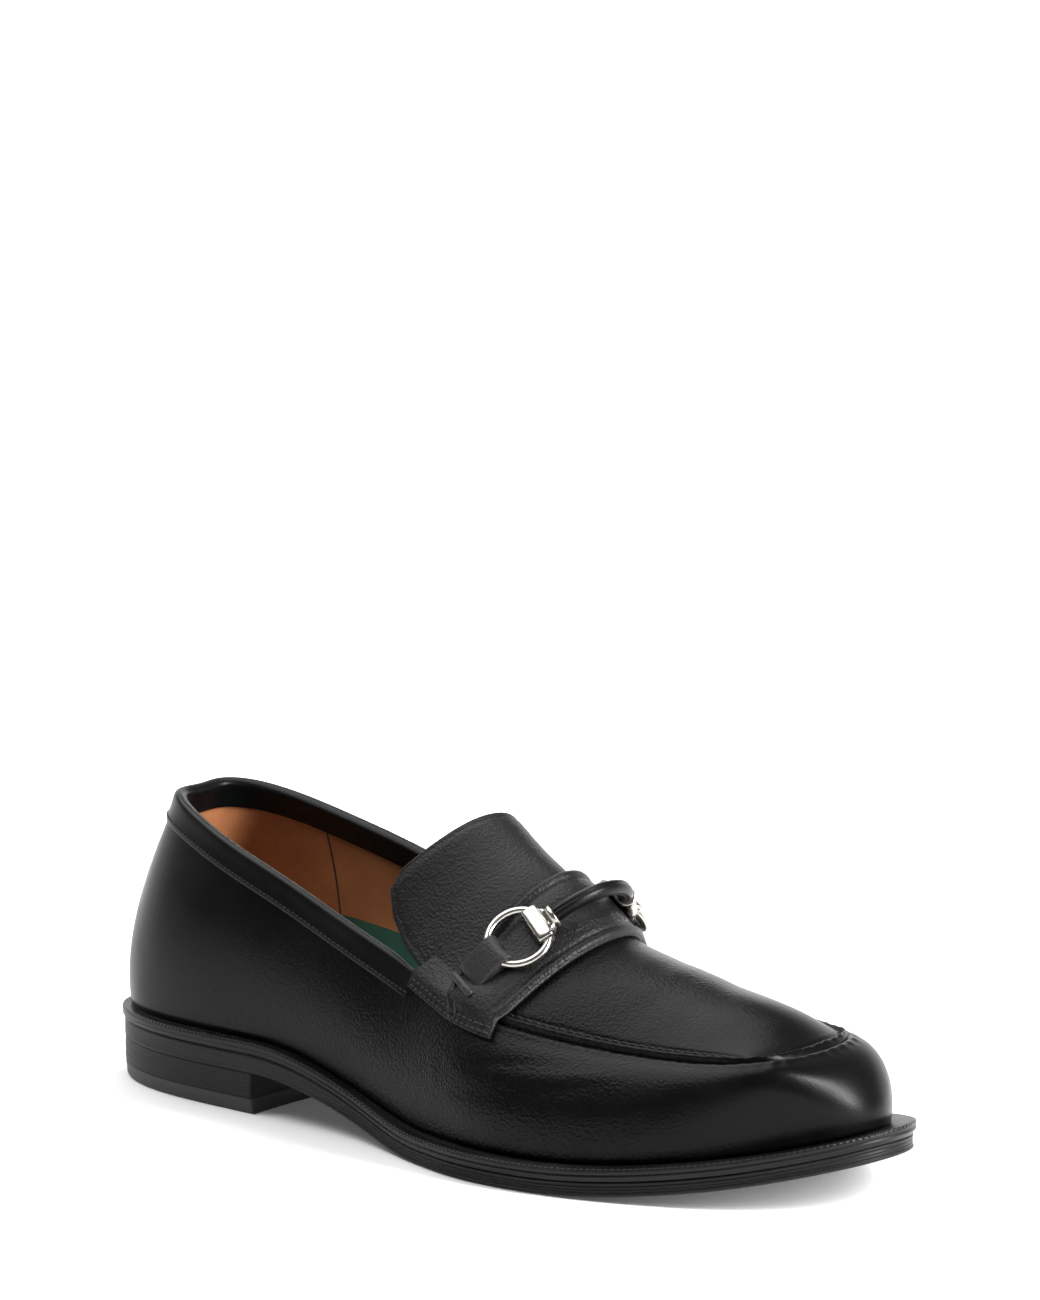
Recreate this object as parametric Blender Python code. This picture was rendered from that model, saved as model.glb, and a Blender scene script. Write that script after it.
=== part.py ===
"""Bit loafer, right foot: ribbed leather sole, hollow apron upper, tongue, saddle strap and bit."""
import bmesh
import bpy
import numpy as np

MM = 0.001
LENGTH = 303.0 * MM
BALL_WIDTH = 108.0 * MM
COLLAR_HEIGHT = 98.0 * MM
HEEL_HEIGHT = 13.0 * MM
LIFT_HEIGHT = 5.0 * MM
TOE_SPRING = 14.5 * MM
SOLE_AT_HEEL = 6.4 * MM
SOLE_AT_BALL = 4.6 * MM
WELT_HEIGHT = 4.0 * MM
WELT_REACH = 0.6 * MM
LEATHER = 2.0 * MM
BINDING = 1.0 * MM
STRAP = 2.6 * MM
STRAP_CLEAR = 0.55 * MM
TONGUE = 2.4 * MM
INSOLE = 3.0 * MM
SEAM_RISE = 1.5 * MM
GAP = 0.3 * MM
RING_RADIUS = 9.6 * MM
WIRE = 2.4 * MM
BAR_THICKNESS = 5.0 * MM
TAB_WIDTH = 8.0 * MM
TAB_LEATHER = 1.2 * MM

# Round the foot from the heel back by the outer side to the toe and home by the inner side.
# sole x, top x are shares of LENGTH; sole y, top y shares of BALL_WIDTH; top z of COLLAR_HEIGHT;
# shelf, bulge and lean are shares of BALL_WIDTH; foot rise and top drop are shares of the wall height.
STATION_COLUMNS = ("sole_x", "sole_y", "shelf", "top_x", "top_y", "top_z", "bulge", "rise", "lean", "drop")
STATIONS = (
    (0.000, 0.000, 0.023, 0.083, 0.009, 0.973, 0.026, 0.30, 0.116, 0.36),
    (0.013, -0.130, 0.023, 0.086, -0.083, 0.970, 0.026, 0.30, 0.110, 0.36),
    (0.066, -0.250, 0.023, 0.112, -0.162, 0.952, 0.030, 0.30, 0.090, 0.36),
    (0.149, -0.315, 0.028, 0.161, -0.213, 0.903, 0.034, 0.30, 0.080, 0.36),
    (0.248, -0.333, 0.028, 0.224, -0.250, 0.840, 0.034, 0.30, 0.070, 0.36),
    (0.330, -0.343, 0.028, 0.304, -0.273, 0.762, 0.034, 0.30, 0.060, 0.36),
    (0.413, -0.364, 0.028, 0.396, -0.292, 0.660, 0.034, 0.32, 0.055, 0.36),
    (0.485, -0.417, 0.037, 0.495, -0.315, 0.556, 0.030, 0.35, 0.060, 0.34),
    (0.568, -0.491, 0.046, 0.568, -0.361, 0.500, 0.028, 0.38, 0.070, 0.30),
    (0.644, -0.523, 0.046, 0.627, -0.375, 0.464, 0.026, 0.42, 0.080, 0.22),
    (0.733, -0.495, 0.046, 0.700, -0.329, 0.427, 0.024, 0.45, 0.095, 0.14),
    (0.809, -0.431, 0.051, 0.785, -0.273, 0.406, 0.022, 0.48, 0.095, 0.08),
    (0.878, -0.347, 0.056, 0.858, -0.234, 0.412, 0.020, 0.50, 0.090, 0.05),
    (0.937, -0.241, 0.060, 0.901, -0.194, 0.433, 0.018, 0.50, 0.090, 0.05),
    (0.983, -0.111, 0.065, 0.916, -0.088, 0.436, 0.016, 0.50, 0.095, 0.05),
    (1.000, 0.028, 0.069, 0.919, 0.028, 0.441, 0.014, 0.50, 0.095, 0.05),
    (0.987, 0.157, 0.065, 0.913, 0.130, 0.444, 0.016, 0.50, 0.095, 0.05),
    (0.950, 0.287, 0.060, 0.894, 0.204, 0.439, 0.018, 0.50, 0.090, 0.05),
    (0.891, 0.407, 0.056, 0.851, 0.264, 0.429, 0.020, 0.50, 0.090, 0.05),
    (0.818, 0.486, 0.051, 0.779, 0.315, 0.429, 0.022, 0.48, 0.095, 0.08),
    (0.733, 0.509, 0.046, 0.693, 0.352, 0.454, 0.024, 0.45, 0.095, 0.14),
    (0.644, 0.468, 0.046, 0.620, 0.352, 0.505, 0.026, 0.42, 0.080, 0.22),
    (0.561, 0.389, 0.046, 0.561, 0.338, 0.551, 0.028, 0.38, 0.070, 0.30),
    (0.488, 0.315, 0.037, 0.502, 0.310, 0.602, 0.030, 0.35, 0.060, 0.34),
    (0.403, 0.270, 0.028, 0.409, 0.292, 0.697, 0.040, 0.32, 0.055, 0.36),
    (0.323, 0.268, 0.028, 0.314, 0.278, 0.797, 0.040, 0.30, 0.060, 0.36),
    (0.241, 0.301, 0.028, 0.231, 0.264, 0.869, 0.036, 0.30, 0.070, 0.36),
    (0.149, 0.306, 0.028, 0.161, 0.234, 0.929, 0.034, 0.30, 0.080, 0.36),
    (0.066, 0.250, 0.023, 0.109, 0.176, 0.970, 0.030, 0.30, 0.090, 0.36),
    (0.013, 0.130, 0.023, 0.084, 0.093, 0.981, 0.026, 0.30, 0.110, 0.36),
)
THROAT_OUT, CORNER_OUT, CORNER_IN, THROAT_IN = 8.0, 13.0, 17.0, 22.0
ROUND = float(len(STATIONS))

# Height of the instep line: share of LENGTH along, share of COLLAR_HEIGHT up.
RIDGE_COLUMNS = ("along", "height")
RIDGE = (
    (0.470, 1.056), (0.495, 1.020), (0.545, 0.924), (0.601, 0.822), (0.634, 0.735),
    (0.660, 0.679), (0.700, 0.634), (0.752, 0.596), (0.809, 0.555), (0.865, 0.518),
    (0.891, 0.490), (0.919, 0.441),
)
# Side edges of the tongue behind the strap: row, outer x y z, inner x y z, forward bow, crown power.
# x is a share of LENGTH, y of BALL_WIDTH, z of COLLAR_HEIGHT, bow of LENGTH.
TONGUE_COLUMNS = ("row", "out_x", "out_y", "out_z", "in_x", "in_y", "in_z", "bow", "power")
TONGUE_ROWS = (
    (-0.25, 0.495, -0.315, 0.556, 0.502, 0.310, 0.602, 0.085, 1.9),
    (-0.45, 0.466, -0.290, 0.610, 0.484, 0.295, 0.650, 0.080, 2.0),
    (-0.65, 0.443, -0.265, 0.686, 0.472, 0.280, 0.722, 0.070, 2.1),
    (-0.85, 0.432, -0.240, 0.762, 0.464, 0.262, 0.792, 0.060, 2.2),
    (-1.00, 0.438, -0.200, 0.838, 0.466, 0.235, 0.856, 0.046, 2.2),
)


def table(rows, columns):
    """Gives each named column of a table as an array."""
    values = np.array(rows, float)
    return {name: values[:, k] for k, name in enumerate(columns)}


def open_curve(knots, values):
    """Natural cubic curve through the values, flat-ended outside the knots."""
    knots, values = np.asarray(knots, float), np.asarray(values, float)
    n = len(knots)
    step = np.diff(knots)
    matrix, right = np.eye(n), np.zeros(n)
    for k in range(1, n - 1):
        matrix[k, k - 1:k + 2] = step[k - 1], 2.0 * (step[k - 1] + step[k]), step[k]
        right[k] = 6.0 * ((values[k + 1] - values[k]) / step[k] - (values[k] - values[k - 1]) / step[k - 1])
    bend = np.linalg.solve(matrix, right)

    def at(x):
        x = np.clip(np.asarray(x, float), knots[0], knots[-1])
        k = np.clip(np.searchsorted(knots, x, side="right") - 1, 0, n - 2)
        a, b = (knots[k + 1] - x) / step[k], (x - knots[k]) / step[k]
        cubic = ((a ** 3 - a) * bend[k] + (b ** 3 - b) * bend[k + 1]) * step[k] ** 2 / 6.0
        return a * values[k] + b * values[k + 1] + cubic
    return at


def round_curve(values):
    """Closed cubic curve through one value a station."""
    values = np.asarray(values, float)
    n = len(values)
    matrix = 4.0 * np.eye(n) + np.roll(np.eye(n), 1, axis=1) + np.roll(np.eye(n), -1, axis=1)
    bend = np.linalg.solve(matrix, 6.0 * (np.roll(values, -1) - 2.0 * values + np.roll(values, 1)))

    def at(t):
        t = np.mod(np.asarray(t, float), n)
        k = np.floor(t).astype(int) % n
        b = t - np.floor(t)
        a, j = 1.0 - b, (k + 1) % n
        return a * values[k] + b * values[j] + ((a ** 3 - a) * bend[k] + (b ** 3 - b) * bend[j]) / 6.0
    return at


def soft(x):
    """Smooth step from 0 to 1."""
    x = np.clip(x, 0.0, 1.0)
    return x * x * (3.0 - 2.0 * x)


columns = table(STATIONS, STATION_COLUMNS)
station = {name: round_curve(values) for name, values in columns.items()}
ridge_height = open_curve(*(table(RIDGE, RIDGE_COLUMNS)[name] for name in RIDGE_COLUMNS))
tongue_table = table(TONGUE_ROWS, TONGUE_COLUMNS)


def sole_outline(t, inset=0.0):
    """Plan of the sole at loop place t, moved inward by inset."""
    t = np.asarray(t, float)
    x, y = station["sole_x"](t) * LENGTH, station["sole_y"](t) * BALL_WIDTH
    dx = (station["sole_x"](t + 0.02) - station["sole_x"](t - 0.02)) * LENGTH
    dy = (station["sole_y"](t + 0.02) - station["sole_y"](t - 0.02)) * BALL_WIDTH
    size = np.hypot(dx, dy)
    return x - dy / size * inset, y + dx / size * inset


def out_of_plan(t):
    """Unit vector in plan that points out of the shoe."""
    x0, y0 = sole_outline(t)
    x1, y1 = sole_outline(t, 1.0)
    return x0 - x1, y0 - y1


def underside(x):
    """Height of the bottom of the outsole above the floor."""
    share = x / LENGTH
    arch = HEEL_HEIGHT * (1.0 - soft((share - 0.275) / 0.27))
    toe = TOE_SPRING * np.clip((share - 0.675) / 0.325, 0.0, 1.2) ** 2
    return arch + toe


def sole_thickness(x):
    """Thickness of the outsole."""
    return SOLE_AT_HEEL + (SOLE_AT_BALL - SOLE_AT_HEEL) * soft((x / LENGTH - 0.25) / 0.30)


def welt_top(x):
    """Height of the top of the welt."""
    return underside(x) + sole_thickness(x) + WELT_HEIGHT


def wall(t, s):
    """Side wall of the upper: loop place t, share s of the way from welt to top edge."""
    t, s = np.broadcast_arrays(np.asarray(t, float), np.asarray(s, float))
    foot_x, foot_y = sole_outline(t, station["shelf"](t) * BALL_WIDTH)
    foot = np.stack([foot_x, foot_y, welt_top(foot_x) + GAP], -1)
    top = np.stack([station["top_x"](t) * LENGTH, station["top_y"](t) * BALL_WIDTH,
                    station["top_z"](t) * COLLAR_HEIGHT], -1)
    out_x, out_y = out_of_plan(t)
    out = np.stack([out_x, out_y, np.zeros_like(out_x)], -1)
    up = np.zeros_like(out)
    up[..., 2] = top[..., 2] - foot[..., 2]
    low = foot + out * (station["bulge"](t) * BALL_WIDTH)[..., None] + up * station["rise"](t)[..., None]
    high = top + out * (station["lean"](t) * BALL_WIDTH)[..., None] - up * station["drop"](t)[..., None]
    s = s[..., None]
    return (foot * (1 - s) ** 3 + 3 * low * s * (1 - s) ** 2 + 3 * high * s ** 2 * (1 - s) + top * s ** 3)


def side_places(row):
    """Loop places at the two ends of an instep row; row 0 is the throat, row 1 the front of the apron."""
    ahead = np.maximum(row, 0.0)
    behind = np.minimum(row, 0.0) * 4.0
    out = THROAT_OUT + (CORNER_OUT - THROAT_OUT) * ahead + behind
    home = THROAT_IN - (THROAT_IN - CORNER_IN) * ahead - behind
    return out, home


def instep(row, v):
    """Instep surface: row from the tongue top (-1) by the throat (0) to the front of the apron (1)."""
    row, v = np.broadcast_arrays(np.asarray(row, float), np.asarray(v, float))
    out_t, in_t = side_places(np.maximum(row, -0.25))
    a, b = wall(out_t, 1.0), wall(in_t, 1.0)
    bow = (0.085 + (0.015 - 0.085) * np.clip(row, 0.0, 1.0)) * LENGTH
    power = np.full(row.shape, 1.9)
    back = row < -0.25
    if np.any(back):
        at = np.clip(-row, 0.25, 1.0)
        rows = -tongue_table["row"]
        read = {name: np.interp(at, rows, tongue_table[name]) for name in TONGUE_COLUMNS[1:]}
        scale = np.array([LENGTH, BALL_WIDTH, COLLAR_HEIGHT])
        a_back = np.stack([read["out_x"], read["out_y"], read["out_z"]], -1) * scale
        b_back = np.stack([read["in_x"], read["in_y"], read["in_z"]], -1) * scale
        a, b = np.where(back[..., None], a_back, a), np.where(back[..., None], b_back, b)
        bow = np.where(back, read["bow"] * LENGTH, bow)
        power = np.where(back, read["power"], power)
    w = (v[..., None] + 1.0) / 2.0
    point = a * (1.0 - w) + b * w
    middle = (a + b) / 2.0
    crest_x = middle[..., 0] + bow
    crest_z = ridge_height(crest_x / LENGTH) * COLLAR_HEIGHT
    fade = soft((row - 0.55) / 0.45)
    front_t = CORNER_OUT + (CORNER_IN - CORNER_OUT) * w[..., 0]
    corner_a, corner_b = wall(CORNER_OUT, 1.0), wall(CORNER_IN, 1.0)
    front = wall(front_t, 1.0) - (corner_a * (1.0 - w) + corner_b * w)
    crown = 1.0 - np.abs(v) ** power
    point[..., 0] += bow * crown * (1.0 - fade)
    point[..., 2] += (crest_z - middle[..., 2]) * crown * (1.0 - fade ** 3)
    return point + front * fade[..., None]


def steps(first, last, count):
    """Evenly spaced places from first to last, count intervals."""
    return first + (last - first) * np.arange(count + 1) / count


def unit(vector):
    """Vectors scaled to length 1."""
    return vector / np.maximum(np.linalg.norm(vector, axis=-1, keepdims=True), 1e-12)


def corner_normals(points, faces):
    """Outward unit normal at each point, weighed by face area."""
    total = np.zeros_like(points)
    for face in faces:
        ring = points[list(face)]
        normal = np.cross(ring, np.roll(ring, -1, axis=0)).sum(axis=0)
        for k in face:
            total[k] += normal
    return unit(total)


def grid_faces(index, closed=False):
    """Quads over a grid of point numbers."""
    faces = []
    rows, across = index.shape
    for i in range(rows if closed else rows - 1):
        k = (i + 1) % rows
        for j in range(across - 1):
            faces.append((index[i, j], index[k, j], index[k, j + 1], index[i, j + 1]))
    return faces


def open_edge_faces(faces, count):
    """Quads that join the open edges of a sheet to those of its copy, count points later."""
    seen = {(a, b) for face in faces for a, b in zip(face, face[1:] + face[:1])}
    return [(b, a, a + count, b + count) for a, b in sorted(seen) if (b, a) not in seen]


def thick_sheet(points, faces, outer, inner, normals):
    """Closed solid between a sheet moved out by outer and moved in by inner."""
    count = len(points)
    outer, inner = np.broadcast_to(outer, count), np.broadcast_to(inner, count)
    both = np.concatenate([points + normals * outer[:, None], points - normals * inner[:, None]])
    back = [tuple(k + count for k in reversed(face)) for face in faces]
    return both, list(faces) + back + open_edge_faces(faces, count)


def sheet(surface, u, v, low, high):
    """Closed curved plate over surface(u, v), from low to high above it."""
    grid = surface(u[:, None], v[None, :])
    index = np.arange(len(u) * len(v)).reshape(len(u), len(v))
    faces = grid_faces(index)
    flat = grid.reshape(-1, 3)
    normals = corner_normals(flat, faces)
    if normals[index[len(u) // 2, len(v) // 2]] @ (flat.mean(axis=0) * [1, 0, 1] - SHOE_MIDDLE) < 0.0:
        faces = [tuple(reversed(face)) for face in faces]
        normals = -normals
    return thick_sheet(flat, faces, high, -low, normals)


def swept(rings, closed=False):
    """Closed solid from a row of equal sections."""
    count, size = len(rings), len(rings[0])
    faces = []
    for i in range(count if closed else count - 1):
        for j in range(size):
            k, n = (j + 1) % size, (i + 1) % count
            faces.append((i * size + j, n * size + j, n * size + k, i * size + k))
    if not closed:
        faces.append(tuple(range(size)))
        faces.append(tuple(reversed(range((count - 1) * size, count * size))))
    return np.concatenate(rings), faces


def plate(outline, profile, bottom, top):
    """Layer that follows the sole, from stacked outlines; profile rows are share of thickness and inset."""
    rings = []
    for share, inset in profile:
        x, y = outline(inset)
        rings.append(np.stack([x, y, bottom(x) + (top(x) - bottom(x)) * share], -1))
    points, faces = swept(rings)
    faces = faces[:-2]
    size = len(rings[0])
    last = (len(rings) - 1) * size
    for j in range(size // 2):
        strip = tuple(dict.fromkeys((j, j + 1, (size - j - 1) % size, (size - j) % size)))
        faces.append(strip)
        faces.append(tuple(last + k for k in reversed(strip)))
    return points, faces


SHAPES = {}
CUTTERS = {}
SHOE_MIDDLE = np.array([0.5 * LENGTH, 0.0, 0.3 * COLLAR_HEIGHT])


def keep(name, shape, material):
    """Holds a solid until every one is made."""
    SHAPES[name] = (shape[0], shape[1], material)


# Sole layers
sole_t = steps(0.0, ROUND, 84)[:-1]
SOLE_RIBS = (
    (0.00, 1.0), (0.16, 0.2), (0.34, 0.0), (0.44, 0.7), (0.56, 0.7), (0.66, 0.0), (0.88, 0.1), (1.00, 0.9),
)
WELT_RIBS = ((0.00, 0.6), (0.22, 0.0), (0.70, 0.0), (1.00, 0.5))


def outsole_outline(inset):
    """Edge of the outsole, inset in millimetres."""
    return sole_outline(sole_t, inset * MM)


def welt_outline(inset):
    """Edge of the welt, which reaches a little past the outsole."""
    return sole_outline(sole_t, inset * MM - WELT_REACH)


def insole_outline(inset):
    """Edge of the insole, inside the wall of the upper."""
    return sole_outline(sole_t, station["shelf"](sole_t) * BALL_WIDTH + LEATHER + (0.5 + inset) * MM)


def outsole_top(x):
    """Height of the top of the outsole."""
    return underside(x) + sole_thickness(x)


def above(height, rise):
    """The same height curve, moved up."""
    return lambda x: height(x) + rise


keep("outsole", plate(outsole_outline, SOLE_RIBS, underside, above(outsole_top, -GAP)), "sole_leather")
keep("welt", plate(welt_outline, WELT_RIBS, outsole_top, welt_top), "welt_leather")
keep("insole", plate(insole_outline, ((0.0, 0.6), (0.3, 0.0), (1.0, 0.2)), above(welt_top, GAP),
                     above(welt_top, GAP + INSOLE)), "lining_green")

# Heel: the sole outline behind the breast, closed by a slightly hollow breast
BREAST = 0.272
BREAST_HOLLOW = 2.0 * MM
HEEL_TAPER = 0.8 * MM
near_breast = np.interp(BREAST, columns["sole_x"][:8], np.arange(8.0))
far_breast = np.interp(-BREAST, -columns["sole_x"][22:30], np.arange(22.0, 30.0))


def heel_ring(z, inset):
    """Ring of the heel at height z."""
    x, y = sole_outline(steps(far_breast - ROUND, near_breast, 38), inset)
    v = steps(-1.0, 1.0, 10)[1:-1]
    line_y = y[-1] + (y[0] - y[-1]) * (v + 1.0) / 2.0
    line_x = x[-1] + (x[0] - x[-1]) * (v + 1.0) / 2.0 - BREAST_HOLLOW * (1.0 - v ** 2)
    return np.stack([np.r_[x, line_x], np.r_[y, line_y], np.full(len(x) + len(v), z)], -1)


def heel_block(rows):
    """Closed block from heel rings; rows are height and inset."""
    return swept([heel_ring(z, inset) for z, inset in rows])


keep("heel_stack", heel_block((
    (LIFT_HEIGHT + GAP, 0.4 * MM + HEEL_TAPER * 0.6), (LIFT_HEIGHT + 0.8 * MM, HEEL_TAPER * 0.6),
    (HEEL_HEIGHT - 0.8 * MM, 0.4 * MM), (HEEL_HEIGHT - GAP, 0.8 * MM))), "stack_leather")
keep("top_lift", heel_block((
    (0.0, HEEL_TAPER + 0.6 * MM), (0.6 * MM, HEEL_TAPER),
    (LIFT_HEIGHT - 0.5 * MM, HEEL_TAPER * 0.7), (LIFT_HEIGHT, 0.5 * MM + HEEL_TAPER * 0.7))), "lift_rubber")

# Upper: the side wall all round, sewn to the apron
ALONG, ACROSS, REAR = 12, 12, 40
WALL_SHARES = np.array([0.0, 0.12, 0.26, 0.40, 0.54, 0.68, 0.80, 0.90, 0.955, 1.0])
BEAD = {8: 0.9, 9: 1.0}
loop_t = np.concatenate([
    steps(THROAT_OUT, CORNER_OUT, ALONG)[:-1], steps(CORNER_OUT, CORNER_IN, ACROSS)[:-1],
    steps(CORNER_IN, THROAT_IN, ALONG)[:-1], steps(THROAT_IN, THROAT_OUT + ROUND, REAR)[:-1]])
around, tall = len(loop_t), len(WALL_SHARES)
wall_index = np.arange(around * tall).reshape(around, tall)
upper_points = list(wall(loop_t[:, None], WALL_SHARES[None, :]).reshape(-1, 3))
apron_index = np.zeros((ALONG + 1, ACROSS + 1), int)
for i, row in enumerate(steps(0.0, 1.0, ALONG)):
    for j, v in enumerate(steps(-1.0, 1.0, ACROSS)):
        if j == 0:
            apron_index[i, j] = wall_index[i, -1]
        elif j == ACROSS:
            apron_index[i, j] = wall_index[(2 * ALONG + ACROSS - i) % around, -1]
        elif i == ALONG:
            apron_index[i, j] = wall_index[ALONG + j, -1]
        else:
            apron_index[i, j] = len(upper_points)
            upper_points.append(instep(row, v))
upper_points = np.array(upper_points)
upper_faces = grid_faces(wall_index, closed=True) + grid_faces(apron_index)
upper_normals = corner_normals(upper_points, upper_faces)
if upper_normals[apron_index[ALONG // 2, ACROSS // 2], 2] < 0.0:
    upper_faces = [tuple(reversed(face)) for face in upper_faces]
    upper_normals = -upper_normals
upper_normals[wall_index[:, 0], 2] = 0.0
upper_normals = unit(upper_normals)
rise = np.zeros(len(upper_points))
bead_fade = soft((loop_t - THROAT_OUT - 1.0) / 0.6) * soft((THROAT_IN - 1.0 - loop_t) / 0.6)
for level, share in BEAD.items():
    rise[wall_index[:, level]] = share * bead_fade * SEAM_RISE
keep("upper", thick_sheet(upper_points, upper_faces, rise, LEATHER, upper_normals), "calf_leather")


def tongue_surface(row, v):
    """Instep surface drawn in a little at the sides, clear of the quarters."""
    return instep(row, v * 0.975)


def strap_surface(row, v):
    """Instep surface carried on down the side walls past v = -1 and 1."""
    row, v = np.broadcast_arrays(np.asarray(row, float), np.asarray(v, float))
    top = instep(row, np.clip(v, -1.0, 1.0))
    out_t, in_t = side_places(row)
    down = 1.0 - np.clip(np.abs(v) - 1.0, 0.0, 1.0)
    side = np.where((v < 0.0)[..., None], wall(out_t, down), wall(in_t, down))
    return np.where((np.abs(v) > 1.0)[..., None], side, top)


# Tongue: carries the apron on behind the throat, its joint under the strap
TONGUE_STATIONS = -np.array([0.012, 0.10, 0.25, 0.40, 0.55, 0.70, 0.85, 1.0])
keep("tongue", sheet(tongue_surface, TONGUE_STATIONS, steps(-1.0, 1.0, 14), -TONGUE, 0.0), "grain_leather")

# Saddle strap over the joint, its ends down on the side walls
STRAP_COLUMNS = ("across", "back", "front")
STRAP_EDGES = (
    (-1.20, -0.240, 0.200), (-0.93, -0.240, 0.195), (-0.76, -0.235, 0.160), (-0.60, -0.230, 0.130),
    (-0.42, -0.225, 0.105), (0.00, -0.220, 0.085), (0.42, -0.225, 0.090), (0.65, -0.230, 0.100),
    (0.93, -0.240, 0.150), (1.20, -0.240, 0.170),
)
STRAP_END_BACK, STRAP_END_FRONT = 1.10, 1.19
strap_edges = table(STRAP_EDGES, STRAP_COLUMNS)
strap_back = open_curve(strap_edges["across"], strap_edges["back"])
strap_front = open_curve(strap_edges["across"], strap_edges["front"])


def strap_layout(share, across):
    """Strap surface between its back and front edges; across runs -1 to 1 from end to end."""
    v = across * (STRAP_END_BACK + (STRAP_END_FRONT - STRAP_END_BACK) * share)
    return strap_surface(strap_back(v) + (strap_front(v) - strap_back(v)) * share, v)


strap_across = np.r_[-1.0, -0.93, steps(-0.87, 0.87, 18), 0.93, 1.0]
keep("saddle_strap", sheet(strap_layout, steps(0.0, 1.0, 5), strap_across, STRAP_CLEAR, STRAP_CLEAR + STRAP),
     "grain_leather")


def wall_frame(t, s):
    """Point, outward normal and upward direction on the side wall."""
    up = unit(wall(t, s) - wall(t, s - 0.01))
    along = unit(wall(t + 0.02, s) - wall(t - 0.02, s))
    out = unit(np.cross(up, along))
    flat = np.array([*out_of_plan(t), 0.0])
    return wall(t, s), out if out @ flat > 0.0 else -out, up


# Collar binding folded over the top edge, from strap to strap round the heel
BINDING_DEPTH = 7.5 * MM
BINDING_SHARES = (1.0, 0.66, 0.33, 0.0)


def binding_ring(t):
    """Section of the binding at loop place t, a folded strip round the top edge."""
    height = wall(t, 1.0)[2] - wall(t, 0.0)[2]
    frames = [wall_frame(t, 1.0 - share * BINDING_DEPTH / height) for share in BINDING_SHARES]
    p, n, up = frames[-1]
    crown = [p + n * (BINDING - 0.2 * LEATHER) + up * (GAP + BINDING), p - n * (1.2 * LEATHER) + up * (GAP + BINDING)]
    under = [p - n * (LEATHER + GAP) + up * GAP, p + n * GAP + up * GAP]
    outer = [p + n * (GAP + BINDING) for p, n, up in frames]
    inner = [p - n * (LEATHER + GAP + BINDING) for p, n, up in reversed(frames)]
    inner_back = [p - n * (LEATHER + GAP) for p, n, up in frames[:-1]]
    outer_back = [p + n * GAP for p, n, up in reversed(frames[:-1])]
    return np.array(outer + crown + inner + inner_back + under + outer_back)


keep("collar_binding", swept([binding_ring(t) for t in steps(THROAT_IN + 1.12, THROAT_OUT - 1.12 + ROUND, 40)]),
     "smooth_leather")
keep("back_stay", sheet(wall, steps(-0.55, 0.55, 8), steps(0.60, 0.87, 6), GAP, GAP + 1.0 * MM), "smooth_leather")

# Bit: ring, ferrule and tab on each side, bar over the crest
BIT_ROW = -0.069
RING_AT = 0.572
TAB_FOOT = 0.84
TAB_ROW = -0.028
TAB_CLEAR = 0.9 * MM
RING_LIFT = GAP + TAB_LEATHER + 0.4 * MM + WIRE / 2.0
BAR_CLEAR = 5.6 * MM
BAR_RISE = 4.0 * MM


def strap_frame(v, row=BIT_ROW):
    """Point on top of the strap, its normal, and the way down the side."""
    row = np.asarray(row)
    across = strap_surface(row, np.asarray(v + 0.02)) - strap_surface(row, np.asarray(v - 0.02))
    ahead = strap_surface(row + 0.02, np.asarray(v)) - strap_surface(row - 0.02, np.asarray(v))
    normal = unit(np.cross(ahead, across))
    if normal[2] < 0.0:
        normal = -normal
    down = unit(across) * (1.0 if v > 0.0 else -1.0)
    return strap_surface(row, np.asarray(v)) + normal * (STRAP_CLEAR + STRAP), normal, down


def torus(center, normal, side, radius, wire, around=32, about=8):
    """Wire ring round the center."""
    other = np.cross(normal, side)
    turn = 2.0 * np.pi * np.arange(about)[:, None] / about
    rings = []
    for a in 2.0 * np.pi * np.arange(around) / around:
        out = np.cos(a) * side + np.sin(a) * other
        rings.append(center + out * radius + wire / 2.0 * (np.cos(turn) * out + np.sin(turn) * normal))
    return swept(rings, closed=True)


def bezier(a, b, c, d, share):
    """Point and direction on a cubic curve."""
    point = a * (1 - share) ** 3 + 3 * b * share * (1 - share) ** 2 + 3 * c * share ** 2 * (1 - share) + d * share ** 3
    way = (b - a) * (1 - share) ** 2 + 2 * (c - b) * share * (1 - share) + (d - c) * share ** 2
    return point, unit(way)


ends = {}
for name, sign in (("lateral", -1.0), ("medial", 1.0)):
    spot, normal, down = strap_frame(sign * RING_AT)
    center = spot + normal * RING_LIFT
    keep("ring_" + name, torus(center, normal, down, RING_RADIUS, WIRE), "bit_metal")
    CUTTERS["cut_" + name] = torus(center, normal, down, RING_RADIUS, WIRE + 0.7 * MM)
    ends[name] = (center - down * RING_RADIUS, down, normal)
    # Tab: leather folded round the lower side of the ring, its foot flat on the strap
    foot, foot_normal, foot_down = strap_frame(sign * TAB_FOOT, TAB_ROW)
    tab_way = unit((foot - center) - normal * ((foot - center) @ normal))
    tab_side = np.cross(normal, tab_way)
    loop = WIRE / 2.0 + 0.35 * MM + TAB_LEATHER
    rows = []
    for w in steps(-1.0, 1.0, 4):
        sag = RING_RADIUS - np.sqrt(RING_RADIUS ** 2 - (w * TAB_WIDTH / 2.0) ** 2)
        middle = center + tab_way * (RING_RADIUS - sag)
        arc = [middle + loop * (np.cos(a) * tab_way + np.sin(a) * normal) for a in np.radians(steps(75.0, 285.0, 8))]
        toe = [foot + foot_normal * TAB_CLEAR, foot + foot_normal * (TAB_CLEAR + TAB_LEATHER * 1.6)]
        rows.append(np.array(arc + toe) + tab_side * (w * TAB_WIDTH / 2.0))
    keep("tab_" + name, swept(rows), "smooth_leather")

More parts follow.
